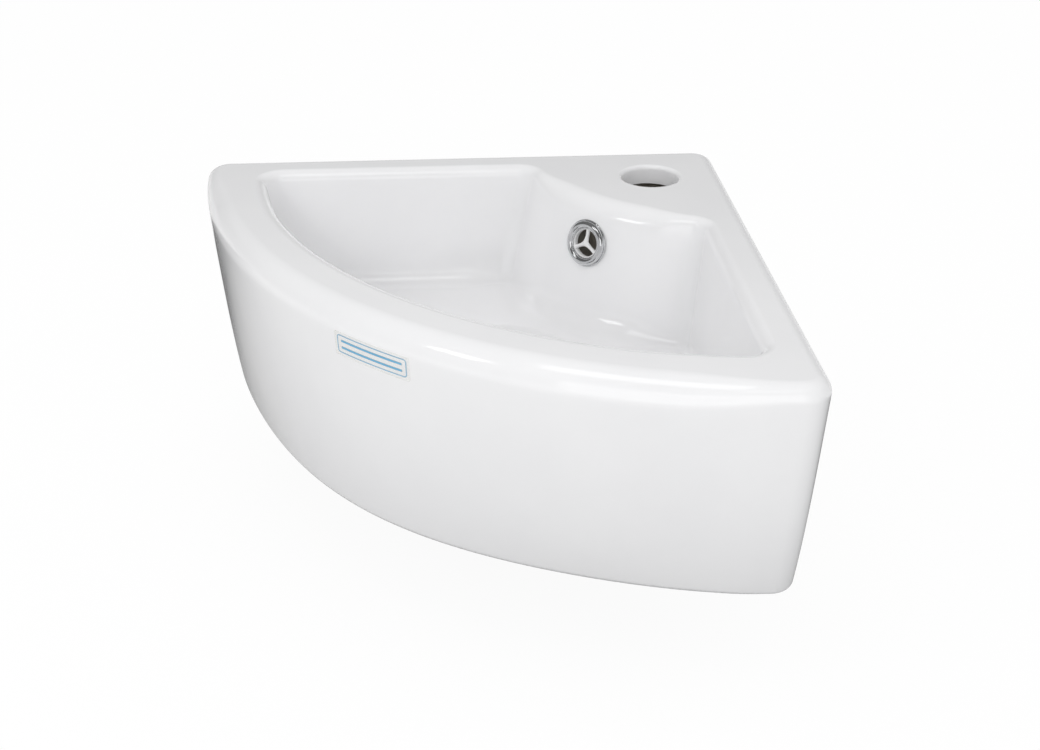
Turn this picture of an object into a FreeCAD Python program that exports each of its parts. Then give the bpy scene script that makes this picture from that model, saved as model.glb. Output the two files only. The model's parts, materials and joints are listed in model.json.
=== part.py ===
import FreeCAD, Part
import math
import os

import Sketcher
from FreeCAD import Vector

# Corner basin. The origin is the room corner at rim height: the two walls are the planes
# x = 0 and y = 0, the basin lies towards -X and -Y, and +Z is up. Millimetres and degrees.
# The diagonal is the line that halves the corner; "reach" is a distance along it.
SIZES = {
    # basin, outside
    "basin_side": 320,             # wall length from the room corner to each front end
    "basin_height": 124,           # rim top to foot
    "apron_inset": 20,             # how much smaller the front radius is at the foot
    "side_draft": 8,               # how far each side leans away from its wall at the foot
    "end_round": 14,               # plan radius of the two front ends
    "corner_round": 13,            # plan radius at the room corner
    "rim_round": 9,                # rounding of the rim's outer edge
    "foot_round": 4,               # rounding of the apron's lower edge
    # bowl
    "side_rim": 25,                # rim width along each wall
    "front_rim": 35.5,             # rim width along the front
    "front_lean": 12.5,            # how far the bowl's front wall leans in at the floor
    "deck_radius": 120,            # room corner to the deck's bowl wall, at the rim
    "deck_foot_radius": 137,       # the same at the floor
    "side_lean": 9,                # how far each side wall of the bowl leans in at the floor
    "bowl_depth": 73,              # rim top to bowl floor
    "bowl_corner": 10,             # plan radius of the bowl's four corners
    "mouth_round": 7,              # rounding of the rim's inner edge
    "floor_round": 9,              # rounding between bowl walls and floor
    "waste_dip": 6,                # fall of the floor to the waste seat
    "dip_margin": 12,              # level floor between the walls and the falling part
    # casting thickness and underside
    "china_wall": 10,
    "rim_thickness": 16,           # rim top to the hollow under it
    "deck_thickness": 14,          # tap deck
    "side_block": 24,              # solid width beside the bowl
    "corner_wall": 11,             # side wall thickness behind the deck
    "hollow_round": 8,             # plan radius of the hollow's corners
    "hollow_setback": 2,           # step between the deck hollow and the bowl wall
    # tap hole and wall fixings
    "tap_reach": 64.3,
    "tap_hole_radius": 17.5,
    "tap_lip_round": 2.5,
    "fixing_hole_radius": 6,
    "fixing_first": 40,            # room corner to the nearer hole
    "fixing_spacing": 50,
    "fixing_depth": 75,            # rim top to the fixing holes
    "pad_height": 40,
    "pad_margin": 17,              # hole centre to the pad's end
    # overflow
    "overflow_depth": 25,
    "overflow_hole_radius": 11,
    "overflow_land": 1.8,          # hole's end to the channel's far side
    "channel_gap": 9,
    "channel_width": 26,
    "channel_skin": 7,
    "channel_port_height": 9,
    "channel_bite": 5,             # how far the channel's cut runs on into the waste hole
    "ring_radius": 14.5,
    "ring_height": 3.4,
    "ring_throat_radius": 8.7,
    "ring_neck_radius": 10.2,
    "ring_neck_length": 11,
    "ring_bead": 2.3,              # radius of the rolled outer edge
    "ring_step": 1.6,              # drop from the bead to the throat
    "ring_dish_width": 1.6,        # sloping step inside the bead
    "ring_dish_drop": 0.9,
    "ring_seat_gap": 0.05,
    "spoke_count": 3,
    "spoke_width": 2.0,
    "spoke_depth": 3.0,            # hub and band
    "web_depth": 2.4,
    "spoke_recess": 2.2,
    "spoke_hub_radius": 2.1,
    "spoke_band": 0.9,
    "sleeve_start": 1,
    "sleeve_length": 9,
    "sleeve_rib_count": 3,
    "sleeve_rib_height": 0.35,
    "sleeve_rib_land": 0.9,        # short sloping side of each rib
    # waste
    "waste_offset": 3.5,           # waste hole ahead of the middle of the bowl's floor
    "waste_hole_radius": 22.25,
    "waste_boss_radius": 40,
    "waste_boss_length": 22,       # china thickness under the waste seat
    "gasket_thickness": 1.5,
    "gasket_margin": 1.5,
    "flange_radius": 31.5,
    "flange_thickness": 2.5,
    "flange_bevel": 1.3,
    "throat_radius": 22,
    "throat_step": 1.6,
    "throat_ledge": 1.8,
    "cone_depth": 5,
    "barrel_radius": 20.2,
    "barrel_bore": 17,
    "barrel_length": 58,
    "barrel_gap": 0.3,
    "thread_gap": 0.05,            # between threads and parts pressed together
    "window_width": 13,
    "window_height": 8,
    "bridge_width": 7,
    "bridge_height": 5,
    "bridge_hub_radius": 6.5,
    "bridge_hole_radius": 3,
    "washer_thickness": 7,
    "washer_radius": 30,
    "washer_plug": 4,              # height of the cone that enters the hole
    "washer_plug_inset": 0.8,
    "washer_bevel": 2.1,
    "slip_thickness": 1.5,
    "slip_radius": 28,
    "nut_height": 10,
    "nut_radius": 25.5,
    "nut_lug_count": 6,
    "nut_lug_width": 8,
    "nut_lug_height": 3.5,         # how far each lug stands out
    "nut_lug_length": 7.5,
    "tail_radius": 15.875,
    "tail_wall": 1.3,
    "tail_length": 36,
    "tail_shoulder_radius": 20.2,
    "tail_shoulder_height": 5,
    "tail_thread_length": 11,
    "tail_seal_thickness": 1.6,
    # plug and its push mechanism
    "plug_travel": 8,
    "cap_radius": 21.2,
    "cap_edge": 1.6,
    "cap_crown": 3.2,
    "cap_seat_gap": 0.4,
    "cap_hub_radius": 6,
    "cap_hub_drop": 2.6,
    "cap_stud_radius": 2,
    "plug_seal_radius": 18.6,
    "plug_seal_width": 6,
    "plug_seal_thickness": 2.2,
    "case_radius": 9,
    "case_wall": 2.3,
    "case_height": 20,
    "case_top_gap": 1.2,
    "case_roof": 2,
    "base_stud_length": 4,
    "rod_radius": 3.1,
    "rod_gap": 0.1,
    "collar_radius": 6.2,
    "collar_thickness": 1.6,
    "index_thickness": 3,
    "index_gap": 0.15,
    "index_side_gap": 0.3,
    "index_notch_count": 8,
    "index_notch_width": 1.3,
    "index_notch_depth": 0.9,
    "pilot_radius": 1.9,
    "pilot_length": 2.6,
    "base_thickness": 2,
    "spring_wire": 0.6,
    "spring_radius": 4.2,
    "spring_turns": 4,
    # clear film stuck on the apron
    "film_start_angle": 43.2,      # angle from the -X wall side, seen from the room corner
    "film_sweep_angle": 9.2,
    "film_top": 12.3,              # rim top to the film's upper edge
    "film_height": 14,
    "film_thickness": 0.15,
    "film_gap": 0.02,
}

doc = FreeCAD.newDocument("corner_basin")
sheet = doc.addObject("Spreadsheet::Sheet", "Sizes")
for row, (alias, number) in enumerate(SIZES.items(), start=1):
    sheet.set(f"A{row}", alias)
    sheet.set(f"B{row}", str(number))
    sheet.setAlias(f"B{row}", alias)
doc.recompute()

# Places that several pieces share, as expressions on the sheet.
BOWL_RADIUS = "(Sizes.basin_side - Sizes.front_rim)"
BOWL_FOOT = f"({BOWL_RADIUS} - Sizes.front_lean)"
WASTE_REACH = f"(({BOWL_FOOT} + Sizes.deck_foot_radius) / 2 + Sizes.waste_offset)"
DIP_RADIUS = f"({BOWL_FOOT} - {WASTE_REACH} - Sizes.dip_margin)"
SEAT = "(Sizes.bowl_depth + Sizes.waste_dip)"
BOSS_FOOT = f"({SEAT} + Sizes.waste_boss_length)"
DECK_SLOPE = "((Sizes.deck_foot_radius - Sizes.deck_radius) / Sizes.bowl_depth)"
FLANGE_BACK = f"({SEAT} - Sizes.gasket_thickness)"
FLANGE_TOP = f"({FLANGE_BACK} - Sizes.flange_thickness)"
LEDGE = f"({FLANGE_TOP} + Sizes.throat_step)"
BARREL_FOOT = f"({FLANGE_BACK} + Sizes.barrel_length)"
PORT_FOOT = f"({BOSS_FOOT} - Sizes.channel_skin)"
PORT_TOP = f"({PORT_FOOT} - Sizes.channel_port_height)"
CAP_REST = f"({LEDGE} - Sizes.cap_seat_gap - Sizes.plug_travel)"
CAP_SHOULDER = f"({CAP_REST} - Sizes.cap_edge)"
HUB_FOOT = f"({CAP_REST} + Sizes.cap_hub_drop)"
CASE_TOP = f"({HUB_FOOT} + Sizes.plug_travel + Sizes.case_top_gap)"
CASE_FOOT = f"({CASE_TOP} + Sizes.case_height)"
CASE_BORE = "(Sizes.case_radius - Sizes.case_wall)"
INDEX_TOP = f"({CASE_TOP} + Sizes.case_roof + Sizes.index_gap)"
COLLAR_TOP = f"({INDEX_TOP} + Sizes.index_thickness + Sizes.index_gap)"
COLLAR_FOOT = f"({COLLAR_TOP} + Sizes.collar_thickness)"
BASE_TOP = f"({CASE_FOOT} - Sizes.base_thickness)"
WASHER_FOOT = f"({BOSS_FOOT} + Sizes.washer_thickness)"
SLIP_FOOT = f"({WASHER_FOOT} + Sizes.slip_thickness)"
TAIL_TOP = f"({BARREL_FOOT} - Sizes.tail_thread_length)"
TAIL_SHOULDER = f"({BARREL_FOOT} + Sizes.tail_seal_thickness)"
TAIL_NECK = f"({TAIL_SHOULDER} + Sizes.tail_shoulder_height)"

WASTE_PLACE = f"-{WASTE_REACH} / sqrt(2)"
ON_WASTE = (f"placement(vector({WASTE_PLACE}; {WASTE_PLACE}; 0);"
            " rotation(vector(0; 0; 1); 45))")
ON_DIAGONAL = "placement(vector(0; 0; 0); rotation(vector(0; 1; 0); 225))"
OVERFLOW_REACH = f"(Sizes.deck_radius + {DECK_SLOPE} * Sizes.overflow_depth)"
ON_OVERFLOW = (f"placement(vector(-{OVERFLOW_REACH} / sqrt(2); -{OVERFLOW_REACH} / sqrt(2);"
               " -Sizes.overflow_depth); rotation(vector(0; 0; 1); 225)"
               f" * rotation(vector(0; 1; 0); 90 deg - atan({DECK_SLOPE})))")


def value(expression):
    """The number that an expression on the sheet gives now."""
    return float(sheet.evalExpression(expression))


def new_body(name, placement=None):
    """A body whose label names its file, placed by an expression."""
    body = doc.addObject("PartDesign::Body", name)
    body.Label = name
    if placement:
        body.setExpression("Placement", placement)
    return body


def new_sketch(body, name, role="XY_Plane", lift=None, offset=None):
    """An empty sketch on an origin plane of the body, lifted along the normal or offset."""
    sketch = body.newObject("Sketcher::SketchObject", f"{body.Name}_{name}")
    plane = [item for item in body.Origin.OriginFeatures if item.Role == role][0]
    sketch.AttachmentSupport = (plane, "")
    sketch.MapMode = "FlatFace"
    if lift:
        sketch.setExpression("AttachmentOffset.Base.z", lift)
    if offset:
        sketch.setExpression("AttachmentOffset", offset)
    return sketch


def bind(sketch, kind, where, expression):
    """A driving dimension of a sketch, bound to the sheet."""
    index = sketch.addConstraint(Sketcher.Constraint(kind, *where, value(expression)))
    sketch.setExpression(f"Constraints[{index}]", expression)


def pin(sketch, element, point, across, up):
    """Hold one point of a sketch at two expressions from the sketch's origin."""
    for kind, axis, expression in (("DistanceX", -2, across), ("DistanceY", -1, up)):
        if expression == "0":
            sketch.addConstraint(Sketcher.Constraint("PointOnObject", element, point, axis))
        else:
            bind(sketch, kind, (-1, 1, element, point), expression)


def add_line(sketch, first, last):
    """A line, with the numbers of its first and last points."""
    return sketch.addGeometry(Part.LineSegment(first, last), False), 1, 2


def add_arc(sketch, centre, first, last, counterclockwise=True):
    """An arc about a centre, with the numbers of its first and last points."""
    start, end = (first, last) if counterclockwise else (last, first)
    angle_start = math.atan2(start.y - centre.y, start.x - centre.x)
    angle_end = math.atan2(end.y - centre.y, end.x - centre.x)
    if angle_end <= angle_start:
        angle_end += 2 * math.pi
    circle = Part.Circle(centre, Vector(0, 0, 1), (first - centre).Length)
    index = sketch.addGeometry(Part.ArcOfCircle(circle, angle_start, angle_end), False)
    return (index, 1, 2) if counterclockwise else (index, 2, 1)


def profile(sketch, corners, arcs=None):
    """A closed outline through corners given as expressions.

    arcs maps the number of a side to its radius and to whether it bends to the left of
    the way from its first corner to its last."""
    arcs = arcs or {}
    points = [Vector(value(across), value(up), 0) for across, up in corners]
    sides = []
    for number, first in enumerate(points):
        last = points[(number + 1) % len(points)]
        if number in arcs:
            radius, to_the_left = arcs[number]
            chord = last - first
            height = math.sqrt(value(radius) ** 2 - chord.Length ** 2 / 4)
            normal = Vector(-chord.y, chord.x, 0).normalize()
            centre = (first + last) * 0.5 + normal * (height if to_the_left else -height)
            sides.append(add_arc(sketch, centre, first, last, to_the_left))
        else:
            sides.append(add_line(sketch, first, last))
    for number, (index, start, end) in enumerate(sides):
        following = sides[(number + 1) % len(sides)]
        sketch.addConstraint(Sketcher.Constraint("Coincident", index, end, *following[:2]))
        pin(sketch, index, start, *corners[number])
        if number in arcs:
            bind(sketch, "Radius", (index,), arcs[number][0])


def circle(sketch, radius, across="0", up="0"):
    """A circle whose radius and centre are bound."""
    centre = Vector(value(across), value(up), 0)
    index = sketch.addGeometry(Part.Circle(centre, Vector(0, 0, 1), value(radius)), False)
    pin(sketch, index, 3, across, up)
    bind(sketch, "Radius", (index,), radius)


def rectangle(sketch, left, low, right, high):
    """A rectangle between four expressions."""
    profile(sketch, [(left, low), (right, low), (right, high), (left, high)])


def swap(point):
    """The mirror image of a point across the diagonal."""
    return Vector(point.y, point.x, 0)


def sector(sketch, side, radius, end_round, back_round, centre="0", back_radius=None):
    """A quarter sector in plan with rounded corners, its sides along the two walls.

    side is the distance of each straight side from its wall. The front is an arc of the
    given radius about (-centre, -centre). The back is a rounded corner, or an arc of
    back_radius about the room corner that bulges into the sector."""
    gap, reach, front, back, middle = map(value, (side, radius, end_round, back_round, centre))
    hub = Vector(-middle, -middle, 0)
    drop = gap + front
    run = math.sqrt((reach - front) ** 2 - (drop - middle) ** 2)
    end = Vector(-middle - run, -drop, 0)
    end_side = Vector(end.x, -gap, 0)
    end_front = hub + (end - hub) * (reach / (reach - front))
    if back_radius:
        curve = value(back_radius)
        knee = Vector(-math.sqrt((curve + back) ** 2 - (gap + back) ** 2), -gap - back, 0)
        knee_arc = knee * (curve / (curve + back))
    else:
        knee = Vector(-gap - back, -gap - back, 0)
    knee_side = Vector(knee.x, -gap, 0)

    left = add_line(sketch, knee_side, end_side)
    left_end = add_arc(sketch, end, end_side, end_front)
    bow = add_arc(sketch, hub, end_front, swap(end_front))
    right_end = add_arc(sketch, swap(end), swap(end_front), swap(end_side))
    right = add_line(sketch, swap(end_side), swap(knee_side))
    if back_radius:
        right_knee = add_arc(sketch, swap(knee), swap(knee_side), swap(knee_arc))
        deck = add_arc(sketch, Vector(), swap(knee_arc), knee_arc, counterclockwise=False)
        left_knee = add_arc(sketch, knee, knee_arc, knee_side)
        loop = [left, left_end, bow, right_end, right, right_knee, deck, left_knee]
        pin(sketch, deck[0], 3, "0", "0")
        bind(sketch, "Radius", deck[:1], back_radius)
        bind(sketch, "Radius", right_knee[:1], back_round)
        bind(sketch, "Radius", left_knee[:1], back_round)
    else:
        corner = add_arc(sketch, knee, swap(knee_side), knee_side)
        loop = [left, left_end, bow, right_end, right, corner]
        bind(sketch, "Radius", corner[:1], back_round)

    for (index, _, end_point), (other, start_point, _) in zip(loop, loop[1:] + loop[:1]):
        sketch.addConstraint(Sketcher.Constraint("Tangent", index, end_point, other, start_point))
    sketch.addConstraint(Sketcher.Constraint("Horizontal", left[0]))
    sketch.addConstraint(Sketcher.Constraint("Vertical", right[0]))
    if side == "0":
        sketch.addConstraint(Sketcher.Constraint("PointOnObject", left[0], 1, -1))
        sketch.addConstraint(Sketcher.Constraint("PointOnObject", right[0], 1, -2))
    else:
        bind(sketch, "DistanceY", (-1, 1, left[0], 1), f"-({side})")
        bind(sketch, "DistanceX", (-1, 1, right[0], 1), f"-({side})")
    away = "0" if centre == "0" else f"-({centre})"
    pin(sketch, bow[0], 3, away, away)
    bind(sketch, "Radius", bow[:1], radius)
    bind(sketch, "Radius", left_end[:1], end_round)
    bind(sketch, "Radius", right_end[:1], end_round)


def feature(body, kind, name, sketch, **bound):
    """A feature made from one sketch, with its sizes bound to the sheet."""
    item = body.newObject(f"PartDesign::{kind}", f"{body.Name}_{name}")
    item.Profile = sketch
    for key, expression in bound.items():
        item.setExpression(key, expression)
    return item


def loft(body, kind, name, sketches):
    """A straight-ruled loft from the first sketch to the second."""
    item = body.newObject(f"PartDesign::{kind}", f"{body.Name}_{name}")
    item.Profile = sketches[0]
    item.Sections = sketches[1:]
    item.Ruled = True
    return item


def turn(body, name, corners, arcs=None, kind="Revolution"):
    """A full turn of a (radius, height) profile about the body's own Z axis."""
    sketch = new_sketch(body, f"{name}_profile", "XZ_Plane")
    profile(sketch, corners, arcs)
    item = feature(body, kind, name, sketch)
    item.ReferenceAxis = (sketch, ["V_Axis"])
    item.Angle = 360
    return item


def turned(name, placement, corners, arcs=None):
    """A piece that is one full turn of a profile."""
    body = new_body(name, placement)
    turn(body, "turn", corners, arcs)
    return body


def ring(name, placement, inner, outer, low, high):
    """A plain ring between two radii and two heights."""
    return turned(name, placement, [(inner, low), (outer, low), (outer, high), (inner, high)])


def edges_where(shape, test):
    """The names of the edges whose middle point and edge pass a test."""
    names = []
    for number, edge in enumerate(shape.Edges, start=1):
        middle = edge.valueAt((edge.FirstParameter + edge.LastParameter) / 2)
        if test(edge, middle):
            names.append(f"Edge{number}")
    return names


def level_edges(shape, height, besides=None):
    """The edges that lie at one height, without those that another shape has there."""
    known = [vertex.Point for vertex in besides.Vertexes] if besides else []

    def test(edge, middle):
        points = [vertex.Point for vertex in edge.Vertexes] + [middle]
        if any(abs(point.z - height) > 1e-3 for point in points):
            return False
        return not any((points[0] - other).Length < 1e-3 for other in known)

    return edges_where(shape, test)


def dress(body, kind, name, edges, **bound):
    """A fillet or a chamfer on edges of the body's last feature."""
    item = body.newObject(f"PartDesign::{kind}", f"{body.Name}_{name}")
    item.Base = (item.BaseFeature, edges)
    for key, expression in bound.items():
        item.setExpression(key, expression)
    return item


def make_cut(item):
    """Recompute, and make sure that a cut has taken something away."""
    before = item.BaseFeature.Shape.Volume
    doc.recompute()
    if item.Shape.Volume >= before:
        raise RuntimeError(f"{item.Name} removes nothing")


def repeat_round(body, name, item, occurrences):
    """Copies of one feature, spread evenly about the body's own Z axis."""
    pattern = body.newObject("PartDesign::PolarPattern", f"{body.Name}_{name}")
    pattern.Originals = [item]
    axis = [line for line in body.Origin.OriginFeatures if line.Role == "Z_Axis"][0]
    pattern.Axis = (axis, [""])
    pattern.Angle = 360
    pattern.setExpression("Occurrences", occurrences)
    body.Tip = pattern
    doc.recompute()


# ---------------------------------------------------------------- the china casting
def outer_form(basin):
    """The outside, which narrows straight from rim to foot."""
    foot_scale = "(1 - Sizes.apron_inset / Sizes.basin_side)"
    rim = new_sketch(basin, "rim_outline")
    sector(rim, "0", "Sizes.basin_side", "Sizes.end_round", "Sizes.corner_round")
    foot = new_sketch(basin, "foot_outline", lift="-Sizes.basin_height")
    sector(foot, "Sizes.side_draft", f"Sizes.basin_side * {foot_scale}",
           f"Sizes.end_round * {foot_scale}", f"Sizes.corner_round * {foot_scale}",
           centre="Sizes.side_draft")
    outside = loft(basin, "AdditiveLoft", "outside", [rim, foot])
    doc.recompute()
    dress(basin, "Fillet", "rim_edge", level_edges(outside.Shape, 0), Radius="Sizes.rim_round")
    doc.recompute()
    foot_edges = level_edges(basin.Tip.Shape, -value("Sizes.basin_height"))
    dress(basin, "Fillet", "foot_edge", foot_edges, Radius="Sizes.foot_round")
    doc.recompute()


def hollow_underside(basin):
    """The hollow under the rim and bowl, and the wider one behind the deck wall."""
    front_radius = ("(Sizes.basin_side - Sizes.china_wall"
                    " - Sizes.apron_inset * {0} / Sizes.basin_height)")
    centre = "(Sizes.side_draft * {0} / Sizes.basin_height)"
    levels = ("Sizes.basin_height", "Sizes.rim_thickness")
    outlines = []
    for number, depth in enumerate(levels):
        outline = new_sketch(basin, f"hollow_{number}", lift=f"-{depth}")
        sector(outline, "Sizes.side_block", front_radius.format(depth), "Sizes.hollow_round",
               "Sizes.hollow_round", centre=centre.format(depth))
        outlines.append(outline)
    make_cut(loft(basin, "SubtractiveLoft", "hollow", outlines))

    outlines = []
    for number, depth in enumerate(("Sizes.basin_height", "Sizes.deck_thickness")):
        outline = new_sketch(basin, f"deck_hollow_{number}", lift=f"-{depth}")
        side = f"(Sizes.corner_wall + {centre.format(depth)})"
        radius = (f"(Sizes.deck_radius + {DECK_SLOPE} * min({depth}; Sizes.bowl_depth)"
                  " - Sizes.china_wall - Sizes.hollow_setback)")
        sector(outline, side, radius, "Sizes.hollow_round", "Sizes.hollow_round")
        outlines.append(outline)
    make_cut(loft(basin, "SubtractiveLoft", "deck_hollow", outlines))


def bowl_outlines(basin, name, wall, top, bottom):
    """The bowl's outlines at rim and floor, grown by a wall thickness."""
    outlines = []
    levels = (("rim", top, "Sizes.side_rim", BOWL_RADIUS, "Sizes.deck_radius"),
              ("floor", bottom, "(Sizes.side_rim + Sizes.side_lean)", BOWL_FOOT,
               "Sizes.deck_foot_radius"))
    for level, depth, side, front, deck in levels:
        outline = new_sketch(basin, f"{name}_{level}", lift=f"-({depth})")
        sector(outline, f"({side} - {wall})", f"({front} + {wall})",
               f"(Sizes.bowl_corner + {wall})", "Sizes.bowl_corner",
               back_radius=f"({deck} - {wall})")
        outlines.append(outline)
    return outlines


def bowl(basin):
    """The bowl's shell with its waste boss and overflow duct, then the bowl itself."""
    shell = bowl_outlines(basin, "shell", "Sizes.china_wall", "Sizes.rim_round",
                          "Sizes.bowl_depth + Sizes.china_wall")
    loft(basin, "AdditiveLoft", "bowl_shell", shell)

    boss = new_sketch(basin, "boss", lift=f"-{BOSS_FOOT}")
    circle(boss, "Sizes.waste_boss_radius", WASTE_PLACE, WASTE_PLACE)
    feature(basin, "Pad", "waste_boss", boss,
            Length="Sizes.waste_boss_length + Sizes.waste_dip")

    wall_front = f"(Sizes.deck_radius + {DECK_SLOPE} * {{0}} - Sizes.china_wall / 2)"
    back = f"({wall_front} - Sizes.china_wall / 2 - Sizes.channel_gap - Sizes.channel_skin)"
    duct = new_sketch(basin, "duct", "XZ_Plane", offset=ON_DIAGONAL)
    profile(duct, [
        (wall_front.format("Sizes.rim_thickness"), "-Sizes.deck_thickness / 2"),
        (back.format("Sizes.rim_thickness"), "-Sizes.deck_thickness / 2"),
        (back.format(BOSS_FOOT), f"-{BOSS_FOOT}"),
        (WASTE_REACH, f"-{BOSS_FOOT}"),
        (WASTE_REACH, "-(Sizes.bowl_depth + Sizes.china_wall / 2)"),
        (wall_front.format("Sizes.bowl_depth"), "-(Sizes.bowl_depth + Sizes.china_wall / 2)"),
    ])
    pad = feature(basin, "Pad", "overflow_duct", duct,
                  Length="Sizes.channel_width + 2 * Sizes.channel_skin")
    pad.Midplane = True
    doc.recompute()

    solid = basin.Tip.Shape
    hollow = bowl_outlines(basin, "bowl", "0", "0", "Sizes.bowl_depth")
    make_cut(loft(basin, "SubtractiveLoft", "bowl", hollow))
    mouth = level_edges(basin.Tip.Shape, 0, besides=solid)
    dress(basin, "Fillet", "mouth_edge", mouth, Radius="Sizes.mouth_round")
    doc.recompute()
    floor = level_edges(basin.Tip.Shape, -value("Sizes.bowl_depth"))
    dress(basin, "Fillet", "floor_edge", floor, Radius="Sizes.floor_round")
    doc.recompute()

    dip = new_sketch(basin, "dip", lift="-Sizes.bowl_depth")
    circle(dip, DIP_RADIUS, WASTE_PLACE, WASTE_PLACE)
    seat = new_sketch(basin, "seat", lift=f"-{SEAT}")
    circle(seat, "(Sizes.flange_radius + Sizes.gasket_margin)", WASTE_PLACE, WASTE_PLACE)
    make_cut(loft(basin, "SubtractiveLoft", "floor_dip", [dip, seat]))

    hole = new_sketch(basin, "waste_hole", lift="-Sizes.bowl_depth")
    circle(hole, "Sizes.waste_hole_radius", WASTE_PLACE, WASTE_PLACE)
    cut = feature(basin, "Pocket", "waste_hole_cut", hole, Length="Sizes.basin_height")
    make_cut(cut)


def overflow_passage(basin):
    """The channel down behind the deck wall and under the floor to the waste hole."""
    front = f"(Sizes.deck_radius + {DECK_SLOPE} * {{0}} - Sizes.china_wall)"
    back = f"({front} - Sizes.channel_gap)"
    channel = new_sketch(basin, "channel", "XZ_Plane", offset=ON_DIAGONAL)
    mouth = f"({WASTE_REACH} - Sizes.waste_hole_radius + Sizes.channel_bite)"
    profile(channel, [
        (front.format("Sizes.rim_thickness"), "-Sizes.rim_thickness"),
        (back.format("Sizes.rim_thickness"), "-Sizes.rim_thickness"),
        (back.format(PORT_FOOT), f"-{PORT_FOOT}"),
        (mouth, f"-{PORT_FOOT}"),
        (mouth, f"-{PORT_TOP}"),
        (front.format(PORT_TOP), f"-{PORT_TOP}"),
    ])
    cut = feature(basin, "Pocket", "overflow_channel", channel, Length="Sizes.channel_width")
    cut.Midplane = True
    make_cut(cut)

    hole = new_sketch(basin, "overflow_hole", offset=ON_OVERFLOW)
    circle(hole, "Sizes.overflow_hole_radius")
    cut = feature(basin, "Pocket", "overflow_hole_cut", hole,
                  Length="Sizes.china_wall + Sizes.channel_gap - Sizes.overflow_land")
    make_cut(cut)


def tap_hole(basin):
    """The hole through the deck, with a rounded lip."""
    place = "-Sizes.tap_reach / sqrt(2)"
    hole = new_sketch(basin, "tap_hole")
    circle(hole, "Sizes.tap_hole_radius", place, place)
    solid = basin.Tip.Shape
    cut = feature(basin, "Pocket", "tap_hole_cut", hole, Length="Sizes.deck_thickness * 2")
    make_cut(cut)
    lip = level_edges(basin.Tip.Shape, 0, besides=solid)
    dress(basin, "Fillet", "tap_lip", lip, Radius="Sizes.tap_lip_round")
    doc.recompute()


def wall_fixings(basin):
    """A flat pad on each side that meets its wall, with two holes for wall bolts."""
    near = "(Sizes.fixing_first - Sizes.pad_margin)"
    far = "(Sizes.fixing_first + Sizes.fixing_spacing + Sizes.pad_margin)"
    low = "-(Sizes.fixing_depth + Sizes.pad_height / 2)"
    high = "-(Sizes.fixing_depth - Sizes.pad_height / 2)"
    pads = (("x_pad", "YZ_Plane", f"-{far}", f"-{near}", True),
            ("y_pad", "XZ_Plane", f"-{far}", f"-{near}", False))
    for name, role, left, right, backwards in pads:
        pad_sketch = new_sketch(basin, name, role)
        rectangle(pad_sketch, left, low, right, high)
        pad = feature(basin, "Pad", f"{name}_block", pad_sketch, Length="Sizes.corner_wall")
        pad.Reversed = backwards
        doc.recompute()
        holes = new_sketch(basin, f"{name}_holes", role)
        for place in ("Sizes.fixing_first", "(Sizes.fixing_first + Sizes.fixing_spacing)"):
            circle(holes, "Sizes.fixing_hole_radius", f"-{place}", "-Sizes.fixing_depth")
        cut = feature(basin, "Pocket", f"{name}_drill", holes,
                      Length="Sizes.corner_wall * 2 + Sizes.side_draft")
        cut.Reversed = not backwards
        make_cut(cut)


basin_body = new_body("basin_body")
outer_form(basin_body)
hollow_underside(basin_body)
bowl(basin_body)
overflow_passage(basin_body)
tap_hole(basin_body)
wall_fixings(basin_body)


# ---------------------------------------------------------------- the overflow trim
def overflow_trim_ring():
    """A bright ring with a rolled edge, whose neck reaches into the overflow hole."""
    bead_foot = "Sizes.ring_seat_gap + Sizes.ring_height - Sizes.ring_bead"
    crest = "Sizes.ring_seat_gap + Sizes.ring_height"
    corners = [
        ("Sizes.ring_throat_radius", "-Sizes.ring_neck_length"),
        ("Sizes.ring_neck_radius", "-Sizes.ring_neck_length"),
        ("Sizes.ring_neck_radius", "Sizes.ring_seat_gap"),
        ("Sizes.ring_radius", "Sizes.ring_seat_gap"),
        ("Sizes.ring_radius", bead_foot),
        ("Sizes.ring_radius - Sizes.ring_bead", crest),
        ("Sizes.ring_radius - Sizes.ring_bead - Sizes.ring_dish_width",
         f"{crest} - Sizes.ring_dish_drop"),
        ("Sizes.ring_throat_radius + Sizes.spoke_band", f"{crest} - Sizes.ring_step"),
        ("Sizes.ring_throat_radius", f"{crest} - Sizes.ring_step - Sizes.spoke_band / 2"),
    ]
    arcs = {4: ("Sizes.ring_bead", True), 5: ("Sizes.ring_bead", True)}
    return turned("overflow_trim_ring", ON_OVERFLOW, corners, arcs)


def overflow_spider():
    """Three webs and a hub in a thin band, pressed into the ring's throat."""
    body = new_body("overflow_spider", ON_OVERFLOW)
    top = "(Sizes.ring_height - Sizes.spoke_recess)"
    foot = f"({top} - Sizes.spoke_depth)"
    outer = "(Sizes.ring_throat_radius - Sizes.thread_gap)"
    turn(body, "band", [(f"{outer} - Sizes.spoke_band", foot), (outer, foot), (outer, top),
                        (f"{outer} - Sizes.spoke_band", top)])
    web = new_sketch(body, "web", lift=foot)
    rectangle(web, f"-({outer} - Sizes.spoke_band / 2)", "-Sizes.spoke_width / 2", "0",
              "Sizes.spoke_width / 2")
    pad = feature(body, "Pad", "web_pad", web, Length="Sizes.web_depth")
    doc.recompute()
    repeat_round(body, "webs", pad, "Sizes.spoke_count")
    hub = new_sketch(body, "hub", lift=foot)
    circle(hub, "Sizes.spoke_hub_radius")
    feature(body, "Pad", "hub_pad", hub, Length="Sizes.spoke_depth")
    return body


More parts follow.
